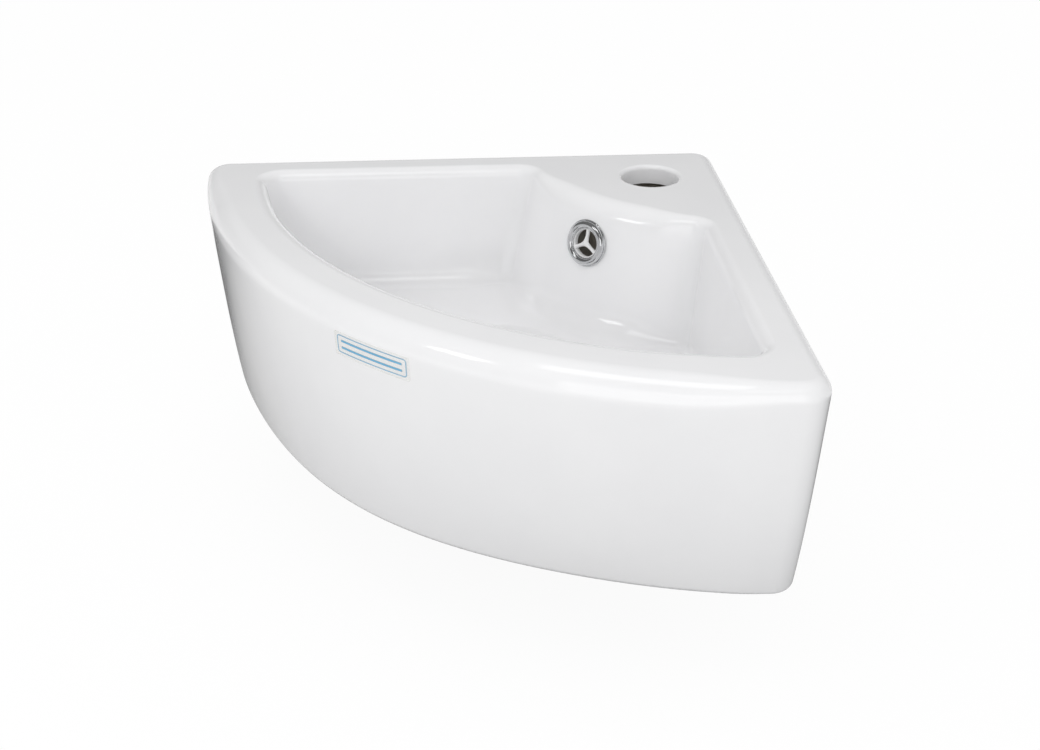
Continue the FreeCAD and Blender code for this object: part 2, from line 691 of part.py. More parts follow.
def overflow_sleeve():
    """A ribbed rubber sleeve that grips the ring's neck in its hole."""
    inner = "(Sizes.ring_neck_radius + Sizes.thread_gap)"
    outer = "(Sizes.overflow_hole_radius - Sizes.thread_gap)"
    pitch = "(Sizes.sleeve_length / Sizes.sleeve_rib_count)"
    corners = [(inner, "-Sizes.sleeve_start"), (outer, "-Sizes.sleeve_start")]
    for rib in range(int(value("Sizes.sleeve_rib_count"))):
        crest = f"Sizes.sleeve_start + {pitch} * {rib + 1}"
        corners.append((f"{outer} - Sizes.sleeve_rib_height", f"-({crest} - Sizes.sleeve_rib_land)"))
        corners.append((outer, f"-({crest})"))
    corners.append((inner, "-(Sizes.sleeve_start + Sizes.sleeve_length)"))
    return turned("overflow_sleeve", ON_OVERFLOW, corners)


# ---------------------------------------------------------------- the waste
def waste_body():
    """Flange, seat cone and slotted barrel in one, with a bridge across the barrel."""
    body = new_body("waste_body", ON_WASTE)
    turn(body, "turning", [
        ("Sizes.barrel_bore", f"-{BARREL_FOOT}"),
        ("Sizes.barrel_radius", f"-{BARREL_FOOT}"),
        ("Sizes.barrel_radius", f"-{FLANGE_BACK}"),
        ("Sizes.flange_radius", f"-{FLANGE_BACK}"),
        ("Sizes.flange_radius", f"-({FLANGE_TOP} + Sizes.flange_bevel)"),
        ("Sizes.flange_radius - 2 * Sizes.flange_bevel", f"-{FLANGE_TOP}"),
        ("Sizes.throat_radius", f"-{FLANGE_TOP}"),
        ("Sizes.throat_radius", f"-{LEDGE}"),
        ("Sizes.throat_radius - Sizes.throat_ledge", f"-{LEDGE}"),
        ("Sizes.barrel_bore", f"-({LEDGE} + Sizes.cone_depth)"),
    ])
    doc.recompute()
    middle = f"({PORT_TOP} + Sizes.channel_port_height / 2)"
    for number, role in enumerate(("XZ_Plane", "YZ_Plane")):
        window = new_sketch(body, f"window_{number}", role)
        rectangle(window, "-Sizes.window_width / 2", f"-({middle} + Sizes.window_height / 2)",
                  "Sizes.window_width / 2", f"-({middle} - Sizes.window_height / 2)")
        cut = feature(body, "Pocket", f"window_cut_{number}", window,
                      Length="Sizes.barrel_radius * 3")
        cut.Midplane = True
        make_cut(cut)
    bridge = new_sketch(body, "bridge", lift=f"-{CASE_FOOT}")
    reach = "(Sizes.barrel_bore + Sizes.barrel_radius) / 2"
    rectangle(bridge, f"-{reach}", "-Sizes.bridge_width / 2", reach, "Sizes.bridge_width / 2")
    bar = feature(body, "Pad", "bridge_bar", bridge, Length="Sizes.bridge_height")
    bar.Reversed = True
    doc.recompute()
    hub = new_sketch(body, "bridge_hub", lift=f"-{CASE_FOOT}")
    circle(hub, "Sizes.bridge_hub_radius")
    boss = feature(body, "Pad", "bridge_boss", hub, Length="Sizes.bridge_height")
    boss.Reversed = True
    doc.recompute()
    hole = new_sketch(body, "bridge_hole", lift=f"-{CASE_FOOT}")
    circle(hole, "Sizes.bridge_hole_radius")
    make_cut(feature(body, "Pocket", "bridge_drill", hole, Length="Sizes.bridge_height"))
    return body


def flange_gasket():
    """The flat gasket between the flange and its seat in the china."""
    return ring("flange_gasket", ON_WASTE, "Sizes.barrel_radius + Sizes.barrel_gap",
                "Sizes.flange_radius - Sizes.gasket_margin", f"-{SEAT}", f"-{FLANGE_BACK}")


def tapered_washer():
    """The rubber washer whose upper cone plugs the hole from below."""
    inner = "Sizes.barrel_radius + Sizes.barrel_gap"
    plug = "Sizes.waste_hole_radius - Sizes.barrel_gap"
    return turned("tapered_washer", ON_WASTE, [
        (inner, f"-{WASHER_FOOT}"),
        ("Sizes.washer_radius - Sizes.washer_bevel", f"-{WASHER_FOOT}"),
        ("Sizes.washer_radius", f"-{BOSS_FOOT}"),
        (plug, f"-{BOSS_FOOT}"),
        (f"{plug} - Sizes.washer_plug_inset", f"-({BOSS_FOOT} - Sizes.washer_plug)"),
        (inner, f"-({BOSS_FOOT} - Sizes.washer_plug)"),
    ])


def friction_washer():
    """The thin slippery washer that lets the nut turn on the rubber."""
    return ring("friction_washer", ON_WASTE, "Sizes.barrel_radius + Sizes.barrel_gap",
                "Sizes.slip_radius", f"-{SLIP_FOOT}", f"-{WASHER_FOOT}")


def backnut():
    """The round nut that clamps the waste to the china, with lugs for a spanner."""
    body = new_body("backnut", ON_WASTE)
    foot = f"({SLIP_FOOT} + Sizes.nut_height)"
    inner = "Sizes.barrel_radius + Sizes.thread_gap"
    turn(body, "ring", [(inner, f"-{foot}"), ("Sizes.nut_radius", f"-{foot}"),
                        ("Sizes.nut_radius", f"-{SLIP_FOOT}"), (inner, f"-{SLIP_FOOT}")])
    lug = new_sketch(body, "lug", lift=f"-{foot}")
    rectangle(lug, "(Sizes.barrel_radius + Sizes.nut_radius) / 2", "-Sizes.nut_lug_width / 2",
              "Sizes.nut_radius + Sizes.nut_lug_height", "Sizes.nut_lug_width / 2")
    pad = feature(body, "Pad", "lug_pad", lug, Length="Sizes.nut_lug_length")
    doc.recompute()
    repeat_round(body, "lugs", pad, "Sizes.nut_lug_count")
    return body


def tailpiece():
    """The outlet tube, screwed into the barrel up to its shoulder."""
    inner = "Sizes.tail_radius - Sizes.tail_wall"
    thread = "Sizes.barrel_bore - Sizes.thread_gap"
    foot = f"({TAIL_NECK} + Sizes.tail_length)"
    return turned("tailpiece", ON_WASTE, [
        (inner, f"-{foot}"),
        ("Sizes.tail_radius", f"-{foot}"),
        ("Sizes.tail_radius", f"-{TAIL_NECK}"),
        ("Sizes.tail_shoulder_radius", f"-{TAIL_NECK}"),
        ("Sizes.tail_shoulder_radius", f"-{TAIL_SHOULDER}"),
        (thread, f"-{TAIL_SHOULDER}"),
        (thread, f"-{TAIL_TOP}"),
        (inner, f"-{TAIL_TOP}"),
    ])


def tailpiece_seal():
    """The rubber ring between the barrel's end and the tailpiece's shoulder."""
    return ring("tailpiece_seal", ON_WASTE, "Sizes.barrel_bore", "Sizes.barrel_radius",
                f"-{TAIL_SHOULDER}", f"-{BARREL_FOOT}")


# ---------------------------------------------------------------- the plug and its mechanism
def click_case():
    """The tube that guides the plunger, open below, with a neck at its top."""
    neck = "Sizes.rod_radius + Sizes.rod_gap"
    return turned("click_case", ON_WASTE, [
        (CASE_BORE, f"-{CASE_FOOT}"),
        ("Sizes.case_radius", f"-{CASE_FOOT}"),
        ("Sizes.case_radius", f"-{CASE_TOP}"),
        (neck, f"-{CASE_TOP}"),
        (neck, f"-({CASE_TOP} + Sizes.case_roof)"),
        (CASE_BORE, f"-({CASE_TOP} + Sizes.case_roof)"),
    ])


def click_base():
    """The screwed base that closes the case and holds it in the bridge."""
    disc = f"{CASE_BORE} - Sizes.thread_gap"
    stud = "Sizes.bridge_hole_radius - Sizes.thread_gap"
    return turned("click_base", ON_WASTE, [
        ("0", f"-({CASE_FOOT} + Sizes.base_stud_length)"),
        (stud, f"-({CASE_FOOT} + Sizes.base_stud_length)"),
        (stud, f"-{CASE_FOOT}"),
        (disc, f"-{CASE_FOOT}"),
        (disc, f"-{BASE_TOP}"),
        ("0", f"-{BASE_TOP}"),
    ])


def click_plunger():
    """The rod that carries the plug, with a collar that the spring pushes up."""
    pilot_foot = f"({COLLAR_FOOT} + Sizes.pilot_length)"
    stud = "Sizes.cap_stud_radius - Sizes.thread_gap"
    return turned("click_plunger", ON_WASTE, [
        ("0", f"-{pilot_foot}"),
        ("Sizes.pilot_radius", f"-{pilot_foot}"),
        ("Sizes.pilot_radius", f"-{COLLAR_FOOT}"),
        ("Sizes.collar_radius", f"-{COLLAR_FOOT}"),
        ("Sizes.collar_radius", f"-{COLLAR_TOP}"),
        ("Sizes.rod_radius", f"-{COLLAR_TOP}"),
        ("Sizes.rod_radius", f"-{HUB_FOOT}"),
        (stud, f"-{HUB_FOOT}"),
        (stud, f"-{CAP_REST}"),
        ("0", f"-{CAP_REST}"),
    ])


def click_index_ring():
    """The notched ring that turns a step at each push, on the plunger above its collar."""
    body = new_body("click_index_ring", ON_WASTE)
    inner = "(Sizes.rod_radius + Sizes.index_side_gap)"
    outer = f"({CASE_BORE} - Sizes.index_side_gap)"
    foot = f"({INDEX_TOP} + Sizes.index_thickness)"
    turn(body, "ring", [(inner, f"-{foot}"), (outer, f"-{foot}"), (outer, f"-{INDEX_TOP}"),
                        (inner, f"-{INDEX_TOP}")])
    doc.recompute()
    notch = new_sketch(body, "notch", lift=f"-{foot}")
    rectangle(notch, "Sizes.rod_radius", "-Sizes.index_notch_width / 2", CASE_BORE,
              "Sizes.index_notch_width / 2")
    cut = feature(body, "Pocket", "notch_cut", notch, Length="Sizes.index_notch_depth")
    cut.Reversed = True
    make_cut(cut)
    repeat_round(body, "notches", cut, "Sizes.index_notch_count")
    return body


def click_spring():
    """The coil spring between the base and the plunger's collar."""
    body = new_body("click_spring", ON_WASTE)
    wire = new_sketch(body, "wire", "XZ_Plane")
    circle(wire, "Sizes.spring_wire / 2", "Sizes.spring_radius",
           f"-({BASE_TOP} - Sizes.spring_wire / 2)")
    coil = body.newObject("PartDesign::AdditiveHelix", "click_spring_coil")
    coil.Profile = wire
    coil.ReferenceAxis = (wire, ["V_Axis"])
    coil.Mode = "height-turns-angle"
    coil.setExpression("Height", f"{BASE_TOP} - {COLLAR_FOOT} - Sizes.spring_wire")
    coil.setExpression("Turns", "Sizes.spring_turns")
    return body


def plug_cap():
    """The domed plug that closes the throat, with a hub for the plunger's stud."""
    crown_radius = "(Sizes.cap_radius ^ 2 + Sizes.cap_crown ^ 2) / (2 * Sizes.cap_crown)"
    return turned("plug_cap", ON_WASTE, [
        ("0", f"-{CAP_REST}"),
        ("Sizes.cap_stud_radius", f"-{CAP_REST}"),
        ("Sizes.cap_stud_radius", f"-{HUB_FOOT}"),
        ("Sizes.cap_hub_radius", f"-{HUB_FOOT}"),
        ("Sizes.cap_hub_radius", f"-{CAP_REST}"),
        ("Sizes.cap_radius", f"-{CAP_REST}"),
        ("Sizes.cap_radius", f"-{CAP_SHOULDER}"),
        ("0", f"-({CAP_SHOULDER} - Sizes.cap_crown)"),
    ], {6: (crown_radius, True)})


def plug_seal():
    """The rubber ring under the cap that meets the seat cone when the plug is shut."""
    return ring("plug_seal", ON_WASTE, "Sizes.plug_seal_radius - Sizes.plug_seal_width",
                "Sizes.plug_seal_radius", f"-({CAP_REST} + Sizes.plug_seal_thickness)",
                f"-{CAP_REST}")


# ---------------------------------------------------------------- the film on the apron
def apron_film():
    """A clear film that follows the leaning, curved apron just outside its face."""
    body = new_body("apron_film")
    outlines = []
    for name, depth in (("top", "Sizes.film_top"), ("foot", "(Sizes.film_top + Sizes.film_height)")):
        inner = (f"(Sizes.basin_side - Sizes.apron_inset * {depth} / Sizes.basin_height"
                 " + Sizes.film_gap)")
        outer = f"({inner} + Sizes.film_thickness)"
        centre = f"Sizes.side_draft * {depth} / Sizes.basin_height"

        def corner(radius, angle):
            return f"-({centre} + {radius} * cos({angle}))", f"-({centre} + {radius} * sin({angle}))"

        last = "(Sizes.film_start_angle + Sizes.film_sweep_angle)"
        outline = new_sketch(body, name, lift=f"-{depth}")
        profile(outline, [
            corner(outer, "Sizes.film_start_angle"),
            corner(outer, last),
            corner(inner, last),
            corner(inner, "Sizes.film_start_angle"),
        ], {0: (outer, True), 2: (inner, False)})
        outlines.append(outline)
    loft(body, "AdditiveLoft", "film", outlines)
    return body


overflow_trim_ring()
overflow_spider()
overflow_sleeve()
waste_body()
flange_gasket()
tapered_washer()
friction_washer()
backnut()
tailpiece()
tailpiece_seal()
click_case()
click_base()
click_plunger()
click_index_ring()
click_spring()
plug_cap()
plug_seal()
apron_film()

# ---------------------------------------------------------------- check and write
doc.recompute()
for item in doc.Objects:
    if "Invalid" in item.State or "Error" in item.State:
        raise RuntimeError(f"{item.Name}: {item.State}")

bodies = [item for item in doc.Objects if item.TypeId == "PartDesign::Body"]
for body in bodies:
    if body.Shape.isNull() or not body.Shape.isValid():
        raise RuntimeError(f"{body.Label} has no valid shape")

os.makedirs("parts", exist_ok=True)
for body in bodies:
    body.Shape.exportStep(f"parts/{body.Label}.step")
    print(f"{body.Label}: {len(body.Shape.Solids)} solid, {body.Shape.Volume / 1000:.3f} cm3")
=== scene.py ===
import json
import math

import bmesh
import bpy
import numpy as np
from mathutils import Matrix, Vector
from mathutils.geometry import delaunay_2d_cdt

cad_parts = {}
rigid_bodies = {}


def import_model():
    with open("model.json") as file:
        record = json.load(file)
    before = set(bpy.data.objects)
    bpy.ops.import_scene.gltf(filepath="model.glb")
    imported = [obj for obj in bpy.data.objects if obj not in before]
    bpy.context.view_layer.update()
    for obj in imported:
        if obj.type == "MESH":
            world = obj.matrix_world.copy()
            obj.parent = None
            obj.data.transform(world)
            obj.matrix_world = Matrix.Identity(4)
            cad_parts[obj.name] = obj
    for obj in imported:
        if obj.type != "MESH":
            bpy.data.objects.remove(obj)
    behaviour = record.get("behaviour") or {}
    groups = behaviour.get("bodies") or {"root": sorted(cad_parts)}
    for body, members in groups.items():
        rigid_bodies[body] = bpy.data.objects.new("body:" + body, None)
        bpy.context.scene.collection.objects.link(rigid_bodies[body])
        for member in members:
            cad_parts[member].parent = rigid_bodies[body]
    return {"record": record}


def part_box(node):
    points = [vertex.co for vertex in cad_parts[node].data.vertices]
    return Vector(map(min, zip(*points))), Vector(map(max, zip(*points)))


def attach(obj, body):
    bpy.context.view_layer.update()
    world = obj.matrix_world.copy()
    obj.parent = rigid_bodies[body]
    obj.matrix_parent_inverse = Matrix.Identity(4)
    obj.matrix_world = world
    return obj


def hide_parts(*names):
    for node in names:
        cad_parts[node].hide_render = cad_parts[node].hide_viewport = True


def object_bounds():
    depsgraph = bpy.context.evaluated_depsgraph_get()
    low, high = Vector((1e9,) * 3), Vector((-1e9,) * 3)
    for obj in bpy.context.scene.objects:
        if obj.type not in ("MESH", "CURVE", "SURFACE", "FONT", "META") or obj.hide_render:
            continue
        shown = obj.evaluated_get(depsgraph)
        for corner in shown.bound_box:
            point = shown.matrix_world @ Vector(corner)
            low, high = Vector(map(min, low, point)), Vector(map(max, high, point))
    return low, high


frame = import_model()
cad_low, cad_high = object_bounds()

# Millimetres in the part's own frame: the origin is the room corner at rim height, the
# basin lies towards -X and -Y, and +Z is up. Meshes are written in metres.
MM = 0.001
mounts = {mount["name"]: mount for mount in frame["record"]["mounts"]}
WASTE = np.array(mounts["waste_outlet"]["pos_m"][:2]) / MM
TAP = np.array(mounts["tap_hole"]["pos_m"][:2]) / MM
TAP_RADIUS = mounts["tap_hole"]["dims"]["r_mm"]

# The casting's outside. SIDE is 0.3 under the solid's, because the apron's late lean makes it
# wider just below the rim, and the smaller SIDE keeps it inside the solid's box.
SIDE = 319.7
HEIGHT = -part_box("basin_body")[0].z / MM
APRON_INSET = 20.0
SIDE_DRAFT = 5.5
FOOT_SHIFT = 8.0
END_ROUND = 14.0
CORNER_ROUND = 13.0
APRON_LATE = 0.21
WARP_PEAK, WARP_PERIOD = 1.9, math.radians(50)
# The bowl.
SIDE_RIM = 25.0
FRONT_RIM = 35.5
FRONT_LEAN = 12.5
DECK_RADIUS = 120.0
DECK_FOOT_RADIUS = 137.0
SIDE_LEAN = 9.0
BOWL_DEPTH = 73.0
BOWL_CORNER = 10.0
SEAT_DEPTH = 79.0
# The casting's inside.
CHINA = 10.0
ROOF_DEPTH = 16.0
DECK_THICKNESS = 14.0
SIDE_BLOCK = 24.0
CORNER_WALL = 11.0
BOSS_RADIUS = 40.0
BOSS_FOOT = 101.0
# The overflow.
OVERFLOW_DEPTH = 25.0
OVERFLOW_RADIUS = 11.0
CHANNEL_GAP = 9.0
CHANNEL_WIDTH = 26.0
CHANNEL_SKIN = 7.0

DECK_SLOPE = (DECK_FOOT_RADIUS - DECK_RADIUS) / BOWL_DEPTH


# ---------------------------------------------------------------- outlines in plan
SIDE_ZONE, END_ZONE, BOW_ZONE, CORNER_ZONE, DECK_ZONE = range(5)
ZONE_POINTS = {SIDE_ZONE: 64, END_ZONE: 20, BOW_ZONE: 220, CORNER_ZONE: 16, DECK_ZONE: 90}

# What changes round an outline: a base value, then by zone another value and the length over
# which it is reached. The first four are radii.
RIM_ROUND = 8, {BOW_ZONE: (13, 60)}
FOOT_ROUND = 3, {BOW_ZONE: (4, 30)}
MOUTH_ROUND = 7, {BOW_ZONE: (9, 60), DECK_ZONE: (14, 35)}
FLOOR_ROUND = 7, {SIDE_ZONE: (12, 30), BOW_ZONE: (9, 60), DECK_ZONE: (17, 30)}
WARP_SHARE = 0, {BOW_ZONE: (1, 25)}


class Outline:
    """A closed counterclockwise outline: points, normals that point into it, and zones."""

    def __init__(self, runs):
        self.points = np.concatenate([points for points, _, _ in runs])
        self.normals = np.concatenate([normals for _, normals, _ in runs])
        self.zones = np.concatenate([np.full(len(points), zone) for points, _, zone in runs])

    def varied(self, base, peaks):
        """One value per point: base, rising smoothly to another value inside some zones.

        peaks gives for a zone its value and the length over which the value is reached. A
        zone may lie on the outline in several runs."""
        step = np.linalg.norm(np.roll(self.points, -1, 0) - self.points, axis=1)
        values = np.full(len(self.points), float(base))
        for zone, (peak, length) in peaks.items():
            here = np.flatnonzero(self.zones == zone)
            for run in np.split(here, np.flatnonzero(np.diff(here) > 1) + 1):
                along = np.cumsum(step[run])
                rise = np.clip(np.minimum(along, along[-1] - along) / length, 0, 1)
                values[run] += (peak - base) * rise * rise * (3 - 2 * rise)
        return values


def straight(first, last, zone, density):
    """Evenly spaced points from first up to last, with the normal on the left of the way."""
    count = max(4, int(ZONE_POINTS[zone] * density))
    share = np.arange(count)[:, None] / count
    way = (last - first) / np.linalg.norm(last - first)
    return first + (last - first) * share, np.tile([-way[1], way[0]], (count, 1)), zone


def bend(centre, first, last, zone, density, leftwards=True):
    """Points on the arc about centre from first up to last, turning left or right."""
    count = max(4, int(ZONE_POINTS[zone] * density))
    start, end = (math.atan2(*(point - centre)[::-1]) for point in (first, last))
    if leftwards:
        end += 2 * math.pi if end < start else 0
    else:
        end -= 2 * math.pi if end > start else 0
    angle = start + (end - start) * np.arange(count) / count
    ray = np.stack([np.cos(angle), np.sin(angle)], axis=1)
    radius = np.linalg.norm(first - centre)
    return centre + ray * radius, -ray if leftwards else ray, zone


def sector(side, radius, end_round, back_round, middle=0.0, back_radius=None, density=1.0):
    """A quarter sector in plan, its straight sides parallel to the walls.

    The front is an arc of radius about (-middle, -middle). The back is a rounded corner,
    or an arc of back_radius about the room corner that bulges into the sector."""
    hub = np.array([-middle, -middle])
    drop = side + end_round
    run = math.sqrt((radius - end_round) ** 2 - (drop - middle) ** 2)
    end = np.array([-middle - run, -drop])
    end_side = np.array([end[0], -side])
    end_front = hub + (end - hub) * (radius / (radius - end_round))
    if back_radius:
        reach = math.sqrt((back_radius + back_round) ** 2 - (side + back_round) ** 2)
        knee = np.array([-reach, -side - back_round])
        knee_arc = knee * (back_radius / (back_radius + back_round))
    else:
        knee = np.array([-side - back_round, -side - back_round])
    knee_side = np.array([knee[0], -side])
    runs = [
        straight(knee_side, end_side, SIDE_ZONE, density),
        bend(end, end_side, end_front, END_ZONE, density),
        bend(hub, end_front, end_front[::-1], BOW_ZONE, density),
        bend(end[::-1], end_front[::-1], end_side[::-1], END_ZONE, density),
        straight(end_side[::-1], knee_side[::-1], SIDE_ZONE, density),
    ]
    if back_radius:
        runs += [
            bend(knee[::-1], knee_side[::-1], knee_arc[::-1], CORNER_ZONE, density),
            bend(np.zeros(2), knee_arc[::-1], knee_arc, DECK_ZONE, density, leftwards=False),
            bend(knee, knee_arc, knee_side, CORNER_ZONE, density),
        ]
    else:
        runs.append(bend(knee, knee_side[::-1], knee_side, CORNER_ZONE, density))
    return Outline(runs)


# ---------------------------------------------------------------- surfaces
def corner_arc(lean, radius, steps):
    """The rounding between a flat plane and a wall that leaves it.

    lean is how far the wall leans in per unit that it goes from the plane. The arc touches
    both. Rows run from the wall to the plane, and give the distance from the plane and how
    far the arc stands in from the wall's own line."""
    tilt = np.arctan(lean)
    angle = tilt - (np.pi / 2 + tilt) * np.linspace(0, 1, steps)[:, None]
    away = radius * (1 + np.sin(angle))
    inset = radius * (np.hypot(1, lean) + lean) - radius * np.cos(angle) - lean * away
    return away, inset


def wall_rows(top, foot, depth, top_round, foot_round, top_side, late=0.0, steps=16,
              middle_rows=14):
    """Rows of points down a wall between two outlines, rounded into both planes.

    Each point lies between its places on the two outlines by its share of the depth, and is
    moved along the normal where the wall rounds. late is the share of the wall's lean that
    comes late, as lean_share says. top_side is 1 where the upper rounding turns into the
    outline, and -1 where it turns out of it. One short level row lies on each plane, so that
    the light doesn't bend there."""
    lean = ((foot.points - top.points) * top.normals).sum(1) / depth

    def place(down, inset):
        """Points at some depths, moved in from the wall's own line."""
        share = lean_share(down / depth, late)[..., None]
        level = top.points * (1 - share) + foot.points * share + top.normals * inset[..., None]
        return np.concatenate([level, -down[..., None]], axis=-1)

    down, inset = corner_arc(top_side * lean, top_round, steps)
    up, foot_inset = corner_arc(-lean, foot_round, steps)
    share = np.linspace(0, 1, middle_rows + 2)[1:-1, None]
    middle = down[0] * (1 - share) + (depth - up[0]) * share
    flat = 0.4
    return np.concatenate([
        place(down[-1:] * 0, top_side * (inset[-1:] + flat)),
        place(down[::-1], top_side * inset[::-1]),
        place(middle, middle * 0),
        place(depth - up, foot_inset),
        place(down[-1:] * 0 + depth, foot_inset[-1:] + flat),
    ])


def lean_share(share, late):
    """How far a wall has leaned at a share of its depth: evenly, but for its late part,
    which grows with the fourth power of the depth."""
    return share * (1 - late) + share ** 4 * late


def foot_warp(bearing):
    """How far the apron's foot stands out of its circle at an angle about its middle: a
    cosine wave with a crest on the diagonal."""
    return WARP_PEAK * np.cos((bearing - math.pi / 4) * 2 * math.pi / WARP_PERIOD)


def round_rows(centre, radii, heights, count=96):
    """Rows of points on circles about a vertical axis, one for each radius and height."""
    angle = np.arange(count) * 2 * np.pi / count
    ring = np.stack([np.cos(angle), np.sin(angle)], axis=1)
    level = centre + ring * np.asarray(radii, float)[:, None, None]
    height = np.broadcast_to(np.asarray(heights, float)[:, None, None], level.shape[:2] + (1,))
    return np.concatenate([level, height], axis=-1)


def inside(points, loops):
    """Even-odd test: which points have an odd number of outline edges to their right."""
    odd = np.zeros(len(points), bool)
    for loop in loops:
        first, last = loop, np.roll(loop, -1, 0)
        across = (first[:, 1] > points[:, 1:2]) != (last[:, 1] > points[:, 1:2])
        rise = np.where(last[:, 1] == first[:, 1], 1, last[:, 1] - first[:, 1])
        cut = first[:, 0] + (points[:, 1:2] - first[:, 1]) / rise * (last[:, 0] - first[:, 0])
        odd ^= ((across & (cut > points[:, :1])).sum(1) % 2).astype(bool)
    return odd


def fill(loops, height, spacing):
    """Triangles over the region between closed outlines at one height.

    Rows of points, each half a step aside from the last, fill the region, and a Delaunay
    triangulation that keeps the outlines joins them."""
    border = np.concatenate(loops)
    low, high = border.min(0), border.max(0)
    row_step, least_gap = spacing * 0.866, spacing * 0.7
    across, up = np.meshgrid(np.arange(low[0], high[0], spacing),
                             np.arange(low[1], high[1], row_step))
    across[1::2] += spacing / 2
    seeds = np.stack([across.ravel(), up.ravel()], axis=1)
    seeds = seeds[inside(seeds, loops)]
    gap = np.linalg.norm(seeds[:, None] - border[None], axis=2).min(1)
    seeds = seeds[gap > least_gap]
    starts = np.cumsum([0] + [len(loop) for loop in loops])
    edges = [(start + step, start + (step + 1) % len(loop))
             for start, loop in zip(starts, loops) for step in range(len(loop))]
    nodes = [Vector(point) for point in np.concatenate([border, seeds]).tolist()]
    found, _, faces, *_ = delaunay_2d_cdt(nodes, edges, [], 0, 1e-7)
    points = np.array([point[:] for point in found])
    faces = np.array(faces)
    faces = faces[inside(points[faces].mean(1), loops)]
    return np.column_stack([points, np.full(len(points), height)]), faces.tolist()


def grid(rows, closed=True):
    """Quads between rows of points, joined end to start where the rows are closed."""
    row_count, length = rows.shape[:2]
    row, column = np.meshgrid(np.arange(row_count - 1), np.arange(length if closed else length - 1),
                              indexing="ij")
    beside = (column + 1) % length
    corners = [row * length + column, row * length + beside,
               (row + 1) * length + beside, (row + 1) * length + column]
    faces = np.stack(corners, axis=-1).reshape(-1, 4)
    return rows.reshape(-1, 3), faces.tolist()


def cap(row):
    """One flat face over a closed row."""
    return row, [list(range(len(row)))]


def build(name, patches, sharp_degrees=35.0):
    """One closed mesh from patches of points and faces in millimetres, its seams merged."""
    points, faces, start = [], [], 0
    for patch_points, patch_faces in patches:
        points.append(np.asarray(patch_points))
        faces += [[start + index for index in face] for face in patch_faces]
        start += len(patch_points)
    mesh = bpy.data.meshes.new(name)
    mesh.from_pydata((np.concatenate(points) * MM).tolist(), [], faces)
    shape = bmesh.new()
    shape.from_mesh(mesh)
    bmesh.ops.remove_doubles(shape, verts=shape.verts, dist=0.004 * MM)
    loose = [vert for vert in shape.verts if not vert.link_faces]
    bmesh.ops.delete(shape, geom=loose, context="VERTS")
    bmesh.ops.recalc_face_normals(shape, faces=shape.faces)
    shape.to_mesh(mesh)
    shape.free()
    smooth(mesh, sharp_degrees)
    piece = bpy.data.objects.new(name, mesh)
    bpy.context.scene.collection.objects.link(piece)
    return piece


def smooth(mesh, sharp_degrees):
    """Smooth shading, broken at edges sharper than an angle."""
    mesh.polygons.foreach_set("use_smooth", np.ones(len(mesh.polygons), bool))
    mesh.set_sharp_from_angle(angle=math.radians(sharp_degrees))


def settle(piece):
    """Replace a piece's mesh with what its modifiers make of it."""
    graph = bpy.context.evaluated_depsgraph_get()
    mesh = bpy.data.meshes.new_from_object(piece.evaluated_get(graph))
    piece.modifiers.clear()
    old = piece.data
    piece.data = mesh
    mesh.name = piece.name
    bpy.data.meshes.remove(old)


def combine(piece, tools):
    """Join or cut a closed mesh by others, in order; the tools are then removed.

    Where the piece has two material slots, what the tools leave is put in the second."""
    for operation, tool in tools:
        while len(tool.data.materials) < len(piece.data.materials):
            tool.data.materials.append(None)
            tool.data.polygons.foreach_set(
                "material_index", np.full(len(tool.data.polygons), len(tool.data.materials) - 1))
        change = piece.modifiers.new(operation, "BOOLEAN")
        change.operation = operation
        change.solver = "MANIFOLD"
        change.object = tool
    settle(piece)
    for _, tool in tools:
        bpy.data.objects.remove(tool)
    return piece


def prism(name, rows):
    """A closed solid between two or more closed rows."""
    return build(name, [grid(rows), cap(rows[0]), cap(rows[-1])])


def level(outline, depth):
    """An outline's points at one depth below the rim."""
    points = outline.points
    return np.column_stack([points, np.full(len(points), -depth)])


# ---------------------------------------------------------------- the china casting
def bowl_outlines(wall=0.0, density=1.0):
    """The bowl's outlines at rim and floor, grown by a wall thickness."""
    rim = sector(SIDE_RIM - wall, SIDE - FRONT_RIM + wall, BOWL_CORNER + wall, BOWL_CORNER,
                 back_radius=DECK_RADIUS - wall, density=density)
    floor = sector(SIDE_RIM + SIDE_LEAN - wall, SIDE - FRONT_RIM - FRONT_LEAN + wall,
                   BOWL_CORNER + wall, BOWL_CORNER, back_radius=DECK_FOOT_RADIUS - wall,
                   density=density)
    return rim, floor


